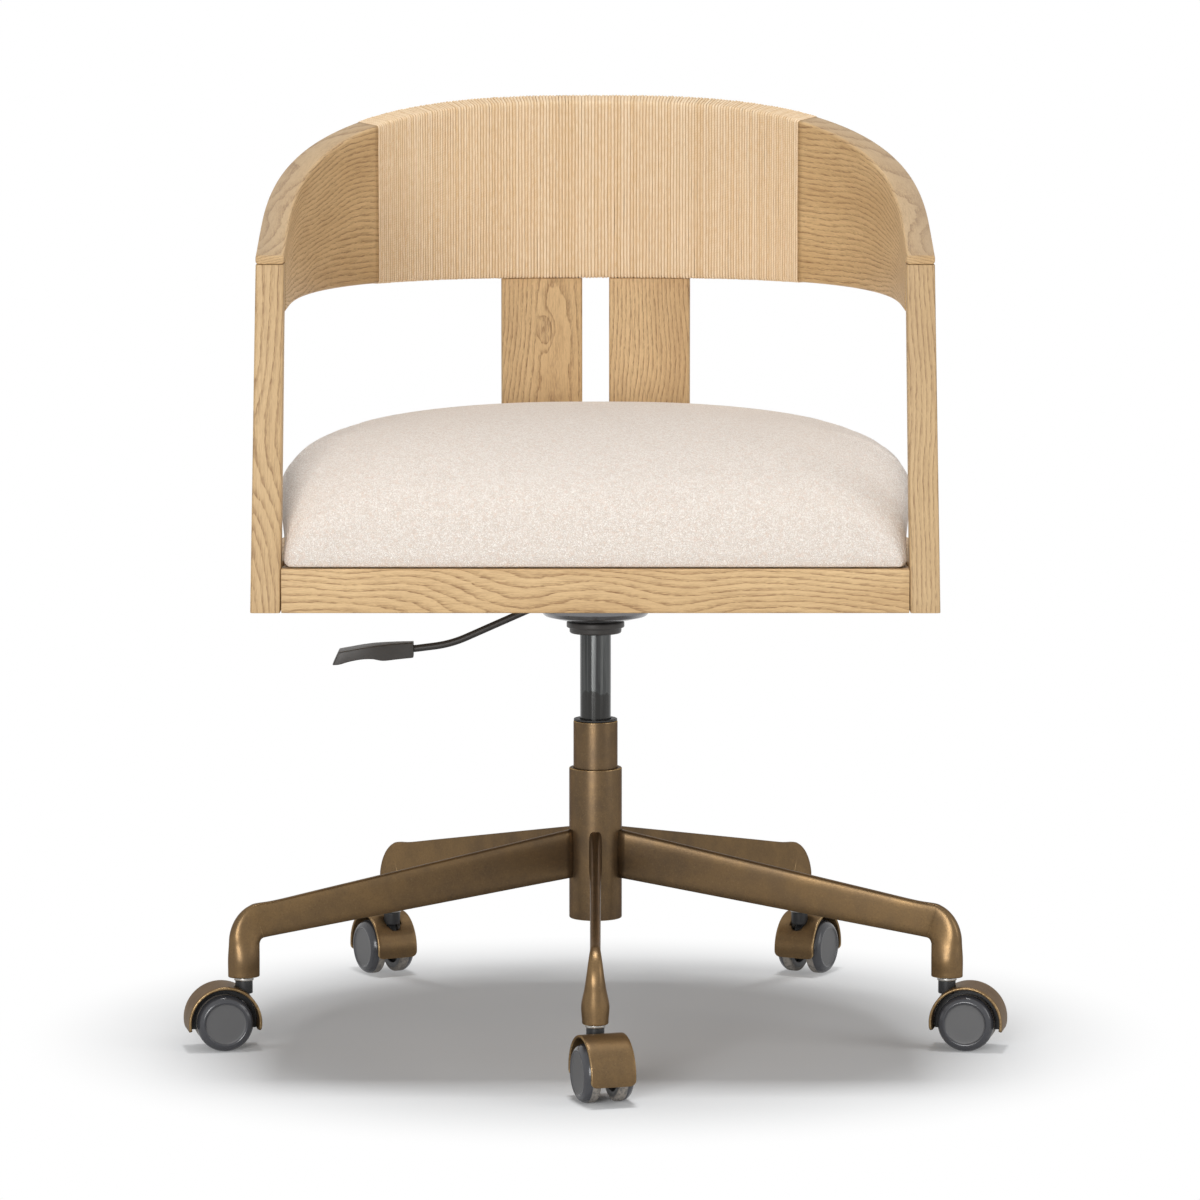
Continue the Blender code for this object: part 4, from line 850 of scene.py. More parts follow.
def swell(item, pressure, cap):
    """Lets cloth swell under pressure for 20 frames, and caps how far each point moves.

    The rim is stapled to the board, so the lowest 30 mm move less and less towards it.
    """
    start = mesh_places(item.data)
    cloth = item.modifiers.new("Cloth", "CLOTH")
    cloth.settings.quality = 5
    cloth.settings.mass = 0.4
    cloth.settings.tension_stiffness = 20
    cloth.settings.compression_stiffness = 20
    cloth.settings.bending_stiffness = 2.0
    cloth.settings.use_pressure = True
    cloth.settings.uniform_pressure_force = pressure
    cloth.settings.effector_weights.gravity = 0
    cloth.collision_settings.use_collision = False
    cloth.point_cache.frame_end = 20
    scene = bpy.context.scene
    for frame_number in range(1, 21):
        scene.frame_set(frame_number)
    graph = bpy.context.evaluated_depsgraph_get()
    step = mesh_places(item.evaluated_get(graph).to_mesh()) - start
    length = np.linalg.norm(step, axis=1, keepdims=True)
    item.modifiers.clear()
    scene.frame_set(1)
    free = np.clip((start[:, 2:] - PAD_FOOT) / 0.030, 0, 1)
    places = start + step * free * np.minimum(1, cap / np.maximum(length, 1e-9))
    places[:, 2] = np.maximum(places[:, 2], PAD_FOOT + 0.0002)
    between_posts = places[:, 1] < POST_BACK
    places[between_posts, 0] = np.clip(places[between_posts, 0], -PAD_HALF, PAD_HALF)
    places[:, 1] = np.maximum(places[:, 1], PAD_FRONT - 0.0010)
    put_places(item.data, places)
    print("pad swells by up to", round(float(length.max()) * 1000, 1), "mm, kept to", cap * 1000, "mm")


pad_item = even_pad(pad_grid(0.0010), 0.0050)
swell(pad_item, 4.0, 0.0030)
pad_mesh = pad_item.data
bpy.data.objects.remove(pad_item)

# %% [markdown]
# ## Boucle
# The cover is boucle: a cream yarn with tight loops of uneven size, so that the surface is a mass of small
# knots with soft shadow between them and a few pinker and browner fibres. Round cells of two sizes, pushed
# about by noise, give the knots, and their height drives a bump.


# %% The boucle finish
CREAM = (0.96, 0.90, 0.835)
WARM_SHADE = (0.71, 0.61, 0.53)
PINK_FIBRE = (0.76, 0.60, 0.50)


def boucle_finish():
    cloth = Finish("cream_boucle", CREAM, 0.95)
    place = cloth.object_place()
    bend = cloth.noise(place, 260.0, 2.0, 0.6)
    bent = cloth.node("ShaderNodeVectorMath", {"operation": "ADD"}, {0: place, 1: cloth.node(
        "ShaderNodeVectorMath", {"operation": "SCALE"}, {0: cloth.noise_colour(place, 330.0), "Scale": 0.0022})})
    knots = cloth.cells(bent, 740.0)
    small = cloth.cells(bent, 1500.0)
    fuzz = cloth.noise(place, 1500.0, 2.0, 0.7)
    knot = 1.0 - knots.ramp(0.05, 0.75)
    height = knot * 0.7 + (1.0 - small.ramp(0.1, 0.8)) * 0.3
    # Painted shade between the knots, darker where they are low; the bend noise adds random tone.
    shade = (1.0 - height).ramp(0.25, 0.90) * 0.85 + (bend - 0.5) * 0.9
    colour = cloth.mix(shade.limited(), CREAM, WARM_SHADE)
    tint = cloth.noise(place, 240.0, 2.0, 0.6).ramp(0.54, 0.70) * 0.45
    colour = cloth.mix(tint, colour, PINK_FIBRE)
    broad = cloth.noise(place, 7.0, 2.0, 0.5).ramp(0.35, 0.8) * 0.06
    colour = cloth.mix(broad, colour, WARM_SHADE)
    cloth.set("Base Color", colour)
    cloth.set("Sheen Weight", 0.25)
    cloth.set("Sheen Roughness", 0.6)
    cloth.bump(height * 0.8 + fuzz * 0.25 + bend * 0.4, 0.0012, 0.8)
    return cloth.material


pad = piece("seat_pad", moved(pad_mesh, AXIS), "seat", boucle_finish(), "seat_cushion")
smoother = pad.modifiers.new("Subdivision", "SUBSURF")
smoother.levels = smoother.render_levels = 1

# %% [markdown]
# ## Bronze coat
# The base is coated steel in dark bronze, rubbed back to brass along every edge. The coat is a metal with a
# brown colour, slightly cloudy, and the mesh's own edge number uncovers the brighter metal below it.


# %% Coated and bright metals
BRONZE = (0.190, 0.120, 0.056)
BRONZE_DARK_AND_SHADE = (0.078, 0.056, 0.038)
BRASS = (0.58, 0.41, 0.21)


def bronze_finish():
    coat = Finish("bronze_coat", BRONZE, 0.34, 0.70)
    coat.set("Specular Tint", (0.35, 0.30, 0.25, 1.0))
    place = coat.object_place()
    cloud = coat.noise(place, 34.0, 4.0, 0.65)
    grain = coat.noise(place, 900.0, 2.0, 0.6)
    speck = coat.noise(place, 620.0, 2.0, 0.7)
    edge = coat.attribute("edge")
    x, y, _ = coat.parts(place)
    # Painted shade: the coat is darker towards the column, under the seat.
    inner = ((x * x + (y - float(AXIS[1])) ** 2.0).root()).ramp(0.27, 0.05)
    rub = (edge * 1.3 + (cloud - 0.5) * 0.9 + (speck - 0.5) * 0.7).ramp(0.50, 1.10)
    colour = coat.mix(cloud.ramp(0.30, 0.70) * 0.40 + inner * 0.35, BRONZE, BRONZE_DARK_AND_SHADE)
    colour = coat.mix(speck.ramp(0.55, 0.80) * 0.10, colour, BRASS)
    colour = coat.mix(speck.ramp(0.48, 0.30) * 0.30, colour, BRONZE_DARK_AND_SHADE)
    colour = coat.mix(rub * 0.60, colour, BRASS)
    coat.set("Base Color", colour)
    coat.set("Roughness", 0.34 + (grain - 0.5) * 0.18 + (cloud - 0.5) * 0.14 - rub * 0.06)
    coat.set("Metallic", 0.70 + rub * 0.25)
    coat.bump(grain, 0.00008, 0.35)
    return coat.material


def plain_finish(name, colour, worn, roughness, metallic, grain_scale=900.0, depth=0.00008, wear=0.3):
    """A coat or plastic with fine grain, cloudy gloss and a paler worn edge."""
    coat = Finish(name, colour, roughness, metallic)
    place = coat.object_place()
    cloud = coat.noise(place, 40.0, 3.0, 0.6)
    grain = coat.noise(place, grain_scale, 2.0, 0.6)
    edge = coat.attribute("edge")
    amount = (cloud - 0.5) * 0.25 + (grain - 0.5) * 0.12 + edge * wear
    coat.set("Base Color", coat.mix(amount.limited(), colour, worn))
    coat.set("Roughness", roughness + (cloud - 0.5) * 0.14 + (grain - 0.5) * 0.10)
    coat.bump(grain, depth, 0.4)
    return coat


def gunmetal_finish():
    """Dark steel tube, with the wet band of grease that the bush leaves on its lowest stretch."""
    tube = plain_finish("gunmetal", (0.070, 0.076, 0.076), (0.15, 0.16, 0.155), 0.34, 0.75)
    place = tube.object_place()
    smear = tube.stretched_noise(place, (110.0, 110.0, 12.0), 3.0, 0.6)
    band = (tube.parts(place)[2] + (smear - 0.5) * 0.024).ramp(0.3045, 0.3025)
    streak = tube.stretched_noise(place, (230.0, 230.0, 3.0), 2.0, 0.6)
    fine = tube.stretched_noise(place, (900.0, 900.0, 40.0), 2.0, 0.6)
    # Lighter and darker vertical streaks: partly drawn streaks of the steel, partly painted reflections.
    colour = tube.mix(streak.ramp(0.38, 0.66), (0.045, 0.047, 0.047), (0.135, 0.140, 0.138))
    colour = tube.mix(fine.ramp(0.45, 0.75) * 0.4, colour, (0.020, 0.021, 0.021))
    tube.set("Base Color", tube.mix(band * 0.7, colour, (0.030, 0.028, 0.026)))
    tube.set("Roughness", 0.30 - band * 0.10 + (streak - 0.5) * 0.30)
    return tube.material


def black_steel_finish():
    """Black coat, dull on most parts and polished where the mesh says so."""
    coat = plain_finish("black_steel", (0.050, 0.046, 0.043), (0.13, 0.12, 0.11), 0.45, 0.35)
    polish = coat.attribute("polish")
    coat.set("Roughness", 0.45 - polish * 0.25)
    coat.set("Metallic", 0.35 + polish * 0.50)
    coat.set("Base Color", coat.mix(polish, (0.050, 0.046, 0.043), (0.200, 0.200, 0.205)))
    return coat.material


def wheel_finish():
    """Moulded plastic: a dull disc, then a glossy ring and bevel, then a dull, scuffed tread."""
    wheel = plain_finish("charcoal_wheel", (0.085, 0.086, 0.088), (0.17, 0.17, 0.17), 0.40, 0.0, 1200.0, 0.00005,
                         0.20)
    from_middle = wheel.parts(wheel.uv())[0]
    bevel = from_middle.ramp(0.0172, 0.0186) * from_middle.ramp(0.0295, 0.0285)
    tread = from_middle.ramp(0.0285, 0.0300) * from_middle.ramp(0.0400, 0.0385)
    dust = wheel.noise(wheel.object_place(), 300.0, 3.0, 0.7)
    colour = wheel.mix(bevel, (0.090, 0.090, 0.092), (0.045, 0.046, 0.052))
    colour = wheel.mix(tread * (dust.ramp(0.35, 0.6) * 0.6 + 0.3), colour, (0.300, 0.270, 0.235))
    wheel.set("Base Color", colour)
    wheel.set("Roughness", 0.46 - bevel * 0.26 + tread * 0.15)
    return wheel.material


BRONZE_COAT = bronze_finish()
GUNMETAL = gunmetal_finish()
STEEL = plain_finish("steel", (0.40, 0.39, 0.37), (0.62, 0.60, 0.56), 0.32, 0.85).material
BLACK_STEEL = black_steel_finish()
BLACK_PLASTIC = plain_finish("black_plastic", (0.042, 0.037, 0.033), (0.10, 0.09, 0.08), 0.46, 0.0,
                             1600.0, 0.00010).material
nylon = plain_finish("dark_nylon", (0.022, 0.022, 0.023), (0.06, 0.06, 0.06), 0.46, 0.0)
nylon.set("Specular IOR Level", 0.30)
DARK_NYLON = nylon.material
CHARCOAL = wheel_finish()
print("metal and plastic finishes ready")

# %% [markdown]
# ## Column and gas lift
# These are turned parts: a hub that the legs are welded to, a tube in it, a dark bush, and the steel pressure
# tube that carries the seat. Each is a profile of radius and height carried round the axis, with its corners
# broken as a lathe leaves them.


# %% Turned pieces on the column
def turned_piece(name, node, profile, body, finish, radius, steps=72, closed=True):
    outline = rounded(profile, radius, 5, closed)
    mesh = moved(lathe_mesh(name, outline, steps, closed), AXIS)
    piece(name, mesh, body, finish, node)


HUB_RADIUS, TUBE_RADIUS, COLUMN_RADIUS = 0.0236, 0.01375, 0.01975
HUB_LOW, HUB_TOP = heights("hub")
COLUMN_LOW, COLUMN_TOP = heights("column_tube")
BUSH_LOW, BUSH_TOP = heights("column_bush")
TUBE_LOW, TUBE_TOP = heights("pressure_tube")
bore = COLUMN_RADIUS + GAP
turned_piece("turned_hub", "hub", [
    (bore, HUB_TOP), (HUB_RADIUS, HUB_TOP), (HUB_RADIUS, HUB_LOW), (0.0140, HUB_LOW), (0.0140, HUB_LOW + 0.0105),
    (bore, HUB_LOW + 0.0105)], "base", BRONZE_COAT,
    (0.0004, 0.0013, 0.0013, 0.0006, 0.0006, 0.0004))
sleeve = COLUMN_RADIUS - 0.0033
turned_piece("column_sleeve", "column_tube", [
    (sleeve, COLUMN_TOP), (COLUMN_RADIUS, COLUMN_TOP), (COLUMN_RADIUS, COLUMN_LOW), (0.0053, COLUMN_LOW),
    (0.0053, COLUMN_LOW + 0.0030), (sleeve, COLUMN_LOW + 0.0030)], "base", BRONZE_COAT,
    (0.0003, 0.0011, 0.0004, 0.0003, 0.0003, 0.0003))
flange = COLUMN_RADIUS - 0.00025
turned_piece("guide_bush", "column_bush", [
    (TUBE_RADIUS + GAP, BUSH_TOP), (flange, BUSH_TOP), (flange, COLUMN_TOP + GAP),
    (sleeve - GAP, COLUMN_TOP + GAP), (sleeve - GAP, BUSH_LOW), (TUBE_RADIUS + GAP, BUSH_LOW)],
    "base", DARK_NYLON, (0.0008, 0.0014, 0.0004, 0.0003, 0.0003, 0.0003))
turned_piece("lift_tube", "pressure_tube", [
    (0.0028, TUBE_TOP), (TUBE_RADIUS, TUBE_TOP), (TUBE_RADIUS, TUBE_LOW), (0.0053, TUBE_LOW),
    (0.0053, TUBE_LOW + 0.0060), (0.01155, TUBE_LOW + 0.0060), (0.01155, TUBE_TOP - 0.0070),
    (0.0028, TUBE_TOP - 0.0070)], "seat", GUNMETAL, 0.0006)

# %% Cutting one mesh with another
def cut_with(mesh, cutter, name):
    """Boolean difference of two meshes, applied."""
    body = new_object(name, mesh)
    tool = new_object(name + "_tool", cutter)
    cut = body.modifiers.new("Cut", "BOOLEAN")
    cut.operation = "DIFFERENCE"
    cut.solver = "EXACT"
    cut.object = tool
    only(body)
    bpy.ops.object.modifier_apply(modifier="Cut")
    result = body.data
    bpy.data.objects.remove(body)
    bpy.data.objects.remove(tool)
    return result


# %% [markdown]
# ## The housing under the seat
# A pressed steel dish holds the lift's socket and the lever. Its wall is thin, its bottom edge is a wide
# pressed curve, and a stepped collar closes it round the tube. The lever passes through a slot in the wall.

# %% Housing and collar
DISH_LOW, DISH_TOP = heights("swivel_housing")
DISH_RADIUS = 0.0500
COLLAR_LOW, COLLAR_TOP = heights("socket_collar")
wall = 0.0025
tube_hole = TUBE_RADIUS + GAP
dish = [
    (DISH_RADIUS - wall, DISH_TOP), (DISH_RADIUS, DISH_TOP), (DISH_RADIUS, DISH_LOW + 0.0152),
    (DISH_RADIUS - 0.0008, DISH_LOW + 0.0088), (0.0455, DISH_LOW + 0.0047), (0.0258, DISH_LOW),
    (tube_hole, DISH_LOW), (tube_hole, TUBE_TOP - wall), (tube_hole + 0.0040, TUBE_TOP - wall),
    (tube_hole + 0.0040, DISH_LOW + wall), (0.0258, DISH_LOW + wall), (0.0447, DISH_LOW + 0.0072),
    (DISH_RADIUS - wall, DISH_LOW + 0.0113),
]
PIVOT_X = -0.0300
PIVOT_Z = float(middle("lever_pin").z)
BEND_X, BEND_Z = PIVOT_X - 0.0990, PIVOT_Z - 0.0452
LEVER_RADIUS = 0.0032
rod_height = PIVOT_Z + (BEND_Z - PIVOT_Z) * (DISH_RADIUS + PIVOT_X) / (PIVOT_X - BEND_X)
slot_start, slot_end = ((x - DISH_RADIUS, 0, rod_height + 0.0025) for x in (-0.010, 0.010))
slot_grid, *_ = bar_grid(slot_start, slot_end, (0, 1, 0), (0, 0, 1), (LEVER_RADIUS + 0.001,) * 2, (0.0070,) * 2,
                         0.0030)
dish_mesh = lathe_mesh("pressed_dish", rounded(dish, 0.0012, 5, True), 72)
dish_mesh = cut_with(dish_mesh, grid_mesh("slot", slot_grid), "pressed_dish")
write_numbers(dish_mesh, "polish", np.ones(len(dish_mesh.vertices)))
piece("pressed_dish", moved(dish_mesh, AXIS), "seat", BLACK_STEEL, "swivel_housing")
ring = COLLAR_TOP - 0.0056
turned_piece("stepped_collar", "socket_collar", [
    (tube_hole, COLLAR_TOP), (0.0258, COLLAR_TOP), (0.0258, ring), (0.0232, ring), (0.0232, COLLAR_LOW),
    (tube_hole, COLLAR_LOW)], "seat", BLACK_STEEL,
    (0.0004, 0.0020, 0.0010, 0.0006, 0.0022, 0.0004))

# %% [markdown]
# ## Legs
# Each leg is a flat tapering bar, standing on edge, that bends down into a round boot for the castor's stem.
# Its section is a superellipse: nearly a rounded rectangle at the hub and a circle at the boot. A spline
# through a few stations gives every measure of the section at once, so that all of them change together.

# %% The leg's stations
CASTER_CIRCLE = 0.3260
LEG_LOW, LEG_TOP = 0.1367, 0.1803
BEND_REACH, BEND_LOW, BEND_TOP = 0.3085, 0.0975, 0.1285
BOOT_DEPTH, BOOT_WIDTH, BOOT_FOOT = 0.0282, 0.0240, 0.0226
BOOT_LOW = heights("leg_1")[0]


def leg_stations():
    """Rows of inner reach, inner height, outer reach, outer height, half width and roundness."""
    share = np.linspace(0, 1, 8)[:, None]
    first = np.array([HUB_RADIUS - 0.0015, LEG_LOW, HUB_RADIUS - 0.0015, LEG_TOP, 0.0049, 4.6])
    last = np.array([BEND_REACH - 0.012, BEND_LOW + 0.0016, BEND_REACH - 0.012, BEND_TOP + 0.0014, 0.0045, 4.6])
    straight = first + (last - first) * share
    flare = np.exp(-share * 52)[:, 0]
    straight[:, 4] += 0.0010 * flare
    turn_share = np.linspace(0.12, 1, 8)
    angle = np.radians(90 * turn_share)
    inner_edge = CASTER_CIRCLE - BOOT_DEPTH / 2
    outer_edge = CASTER_CIRCLE + BOOT_DEPTH / 2 - 0.0008
    inner = BEND_REACH - 0.002 + (inner_edge - BEND_REACH + 0.002) * np.sin(angle)
    inner_height = BEND_LOW - 0.0060 * turn_share ** 2.2
    outer = BEND_REACH + (outer_edge - BEND_REACH) * np.sin(angle)
    outer_height = inner_height + (BEND_TOP - BEND_LOW) * np.cos(angle)
    width = 0.0045 + (BOOT_WIDTH * 0.40 - 0.0045) * turn_share ** 1.25
    power = 4.6 - 2.3 * turn_share
    bend = np.stack([inner, inner_height, outer, outer_height, width, power], 1)
    boot_top = BOOT_LOW + 0.0157
    boot = np.array([
        (inner_edge, boot_top, outer_edge + 0.0008, boot_top, BOOT_WIDTH / 2, 2.1),
        (inner_edge, BOOT_LOW + 0.003, outer_edge + 0.0008, BOOT_LOW + 0.003, BOOT_FOOT / 2, 2.0),
    ])
    return np.vstack([straight, bend, boot])


def leg_grid(count=90, around=40):
    """Superellipse rings between the inner and the outer edge of each station, eased at the boot's rim."""
    rows = smooth_path(leg_stations(), count)
    rise, less = (distance[::-1] for distance in quarter(0.0010, 6))
    rim = np.tile(rows[-1], (6, 1))
    rim[:, [1, 3]] = BOOT_LOW + rise[:, None]
    rim[:, 0] += less
    rim[:, [2, 4]] -= less[:, None]
    rows = np.vstack([rows, rim])
    angle = np.linspace(0, math.tau, around, endpoint=False)
    cosine, sine = np.cos(angle), np.sin(angle)
    power = 2 / rows[:, 5:6]
    along = np.sign(cosine) * np.abs(cosine) ** power
    across = np.sign(sine) * np.abs(sine) ** power
    reach = (rows[:, 0:1] + rows[:, 2:3]) / 2 + (rows[:, 2:3] - rows[:, 0:1]) / 2 * along
    height = (rows[:, 1:2] + rows[:, 3:4]) / 2 + (rows[:, 3:4] - rows[:, 1:2]) / 2 * along
    return np.stack([reach, rows[:, 4:5] * across, height], 2)


LEG = leg_grid()
print("leg:", LEG.shape, "lowest", LEG[:, :, 2].min().round(4), "reach", LEG[:, :, 0].max().round(4))

# %% Five legs round the hub
for number in range(1, 6):
    mesh = grid_mesh(f"bronze_leg_{number}", LEG)
    turn = math.radians(-90 + 72 * (number - 1))
    piece(f"bronze_leg_{number}", moved(mesh, AXIS, turn), "base", BRONZE_COAT, f"leg_{number}")

# %% [markdown]
# ## Castors
# Each castor has a dark core that turns on the stem, a bent bronze hood over two wheels, and wheels with a
# bevelled rim round a sunken disc. The hood is a strip of sheet bent over a circle, with its corners eased;
# the core and the wheels are grids too. Each castor is built once, pointing along +X, then turned to its
# heading and moved to its leg.

# %% Castor sizes
WHEEL_RADIUS, WHEEL_WIDTH, WHEEL_SPACE = 0.0250, 0.0145, 0.0160
TRAIL = 0.0190
HOOD_RADIUS = WHEEL_RADIUS + 0.0049 + 0.0026
HOOD_WALL, HOOD_WIDTH, HOOD_DROP = 0.0026, 0.0400, 0.0075
STEM_RADIUS, WASHER_RADIUS = 0.0055, 0.0086
HOUSING_RADIUS = 0.0077
HOUSING_TOP = heights("caster_1_core")[1]
STEM_LOW, STEM_TOP = heights("caster_1_stem")
HEADINGS = {1: -72.0, 2: -11.0, 3: 63.0, 4: 117.0, 5: 191.0}


# %% The hood: a bent strip with eased corners
def hood_grid():
    """Angle over the wheel by place across the strip; the wall's two faces are joined by half-round edges.

    Near both ends the strip narrows by a quarter circle, so that its corners are round.
    """
    low = math.asin(HOOD_DROP / HOOD_RADIUS)
    corner = 0.0050
    turn = np.linspace(0, math.pi / 2, 8)
    step = corner * (1 - np.cos(turn)) / HOOD_RADIUS
    span = math.pi + 2 * low
    angle = np.concatenate([step, np.linspace(step[-1], span - step[-1], 42)[1:-1], span - step[::-1]]) - low
    less = np.concatenate([corner * (1 - np.sin(turn)), np.zeros(40), corner * (1 - np.sin(turn[::-1]))])
    half = HOOD_WIDTH / 2 - less
    round_edge = np.radians(np.linspace(-90, 90, 9))
    thick = HOOD_WALL / 2
    middle_radius = HOOD_RADIUS - thick
    run = np.linspace(-1, 1, 16)[1:-1]
    across = np.concatenate([run, np.ones(9), run[::-1], -np.ones(9)])
    out = np.concatenate([-np.ones(14), np.sin(round_edge), np.ones(14), -np.sin(round_edge)])
    bulge = np.concatenate([np.zeros(14), np.cos(round_edge), np.zeros(14), -np.cos(round_edge)])
    squeeze = np.ones_like(angle)
    squeeze[[0, -1]] = 0.55
    y = across * (half[:, None] - thick) + bulge * thick
    radius = middle_radius + out * thick * squeeze[:, None]
    x = TRAIL + radius * np.cos(angle)[:, None]
    z = WHEEL_RADIUS + radius * np.sin(angle)[:, None]
    return np.stack([x, y, z], 2)


hood = grid_mesh("hood", hood_grid())
notch = HOUSING_RADIUS + GAP
notch_outline = rounded([(0, 0.07), (notch, 0.07), (notch, 0.03), (0, 0.03)], 0)
HOOD = cut_with(hood, lathe_mesh("notch", notch_outline, 40, closed=False), "hood")
mark_edges(HOOD, 150.0, 600.0)
print("hood points:", len(HOOD.vertices))


# %% The core: a web between the wheels with the stem's housing on it
def core_outline():
    """Side outline of the web: most of a disc inside the hood, closed by a straight foot."""
    radius = HOOD_RADIUS - HOOD_WALL - GAP
    low = math.asin(0.0070 / radius)
    angle = np.linspace(-low, math.pi + low, 48)
    disc = np.stack([TRAIL + radius * np.cos(angle), WHEEL_RADIUS + radius * np.sin(angle)], 1)
    foot = np.linspace(disc[-1], disc[0], 12)[1:-1]
    return np.vstack([disc, foot])


def slab_grid(outline, half, ease):
    """A side outline given a thickness across, its rim eased by a quarter circle towards its middle."""
    middle_point = outline.mean(0)
    arm = outline - middle_point
    reach = np.linalg.norm(arm, axis=1, keepdims=True)
    entry, shrink = quarter(ease, 5)
    nearly_all = [reach.min() * 0.98]
    less = np.concatenate([nearly_all, shrink, shrink[::-1], nearly_all])
    across = np.concatenate([[-half], -half + entry, half - entry[::-1], [half]])
    flat = middle_point + arm[None] * (1 - less[:, None, None] / reach[None])
    return np.dstack([flat[:, :, 0], np.broadcast_to(across[:, None], flat.shape[:2]), flat[:, :, 1]])


def joined(name, meshes):
    """One mesh of several closed shells that belong to one moulding."""
    places, faces, start = [], [], 0
    for mesh in meshes:
        places.append(mesh_places(mesh))
        faces.extend([[start + v for v in polygon.vertices] for polygon in mesh.polygons])
        start += len(mesh.vertices)
    result = bpy.data.meshes.new(name)
    result.from_pydata(np.vstack(places).tolist(), [], faces)
    return result


web = grid_mesh("web", slab_grid(core_outline(), 0.0030, 0.0006))
housing_low = STEM_LOW - 0.0018
housing = lathe_mesh("housing", rounded([
    (0, HOUSING_TOP), (HOUSING_RADIUS, HOUSING_TOP), (HOUSING_RADIUS, housing_low), (0, housing_low)], 0.0008,
    5), 48, closed=False)
CORE = joined("core", [web, housing])
print("core points:", len(CORE.vertices))

# %% Wheel, stem and axle
DISC = WHEEL_WIDTH - 0.0013
WHEEL_OUTLINE = rounded([
    (0, DISC), (WHEEL_RADIUS * 0.20, DISC), (WHEEL_RADIUS * 0.45, DISC), (WHEEL_RADIUS * 0.69, DISC),
    (WHEEL_RADIUS * 0.73, WHEEL_WIDTH - 0.0002), (WHEEL_RADIUS * 0.79, WHEEL_WIDTH),
    (WHEEL_RADIUS * 0.90, WHEEL_WIDTH - 0.0016), (WHEEL_RADIUS * 0.97, WHEEL_WIDTH - 0.0040),
    (WHEEL_RADIUS, WHEEL_WIDTH - 0.0062), (WHEEL_RADIUS, 0.0013), (WHEEL_RADIUS - 0.0013, 0),
    (WHEEL_RADIUS - 0.0083, 0), (WHEEL_RADIUS - 0.0083, 0.0060), (0.0065, 0.0060), (0.0065, -0.0045),
    (0.0033, -0.0045), (0.0033, 0.0110), (0, 0.0110)], 0.0009, 5)
washer_low = HOUSING_TOP + GAP
STEM_OUTLINE = rounded([
    (0, STEM_TOP), (STEM_RADIUS, STEM_TOP), (STEM_RADIUS, washer_low + 0.0027),
    (WASHER_RADIUS, washer_low + 0.0027), (WASHER_RADIUS, washer_low), (STEM_RADIUS, washer_low),
    (STEM_RADIUS, STEM_LOW), (0, STEM_LOW)], 0.0005, 4)
AXLE_OUTLINE = rounded([(0, 0.0185), (0.0030, 0.0185), (0.0030, -0.0185), (0, -0.0185)], 0.0005, 4)


def laid_over(mesh, side):
    """A turned mesh laid on its side, its top towards -Y or +Y, as a wheel stands."""
    x, y, z = mesh_places(mesh).T
    return put_places(mesh, np.stack([x, side * z, -side * y], 1))


# %% Five castors
for number, heading in HEADINGS.items():
    leg_turn = math.radians(-90 + 72 * (number - 1))
    turn = math.radians(heading)
    stem_place = AXIS + CASTER_CIRCLE * np.array([math.cos(leg_turn), math.sin(leg_turn), 0])
    axle_place = stem_place + TRAIL * np.array([math.cos(turn), math.sin(turn), 0]) + [0, 0, WHEEL_RADIUS]
    name = f"castor_{number}"
    body = f"caster_{number}"
    stem = moved(lathe_mesh(f"{name}_stem", STEM_OUTLINE, 40, closed=False), stem_place)
    core, hood = (moved(mesh.copy(), stem_place, turn) for mesh in (CORE, HOOD))
    axle = moved(laid_over(lathe_mesh(f"{name}_axle", AXLE_OUTLINE, 24, closed=False), 1), axle_place, turn)
    piece(f"{name}_stem", stem, "base", STEEL, f"{body}_stem")
    piece(f"{name}_core", core, body, DARK_NYLON, f"{body}_core")
    piece(f"{name}_hood", hood, body, BRONZE_COAT, f"{body}_hood")
    piece(f"{name}_axle", axle, body, STEEL, f"{body}_axle")
    for side_name, side in (("left", 1), ("right", -1)):
        wheel = laid_over(lathe_mesh(f"{name}_wheel_{side_name}", WHEEL_OUTLINE, 72, closed=False), side)
        beside = side * WHEEL_SPACE / 2 * np.array([-math.sin(turn), math.cos(turn), 0])
        wheel = moved(wheel, axle_place + beside, turn)
        wheel_node = f"{body}_wheel_{side_name}"
        piece(f"{name}_wheel_{side_name}", wheel, wheel_node, CHARCOAL, wheel_node)

# %% [markdown]
# ## The lever
# A round rod runs from its pin inside the dish, out through the slot, down and out, and eases over into a
# moulded paddle with a drooping tip. The rod is a circle carried along a smooth path; the paddle is a stack
# of flat rounded sections.

# %% The rod
ROOT_X, ROOT_Z = BEND_X - 0.0334, BEND_Z - 0.0040


def tube_grid(path, radius, around=20):
    """Circles square to a path that lies in the X-Z plane."""
    step = np.gradient(path, axis=0)
    step /= np.linalg.norm(step, axis=1, keepdims=True)
    normal = np.stack([-step[:, 1], step[:, 0]], 1)
    angle = np.linspace(0, math.tau, around, endpoint=False)
    radius = np.broadcast_to(radius, (len(path),))[:, None]
    x = path[:, :1] + normal[:, :1] * radius * np.cos(angle)
    z = path[:, 1:] + normal[:, 1:] * radius * np.cos(angle)
    return np.stack([x, radius * np.sin(angle) + 0 * x, z], 2)


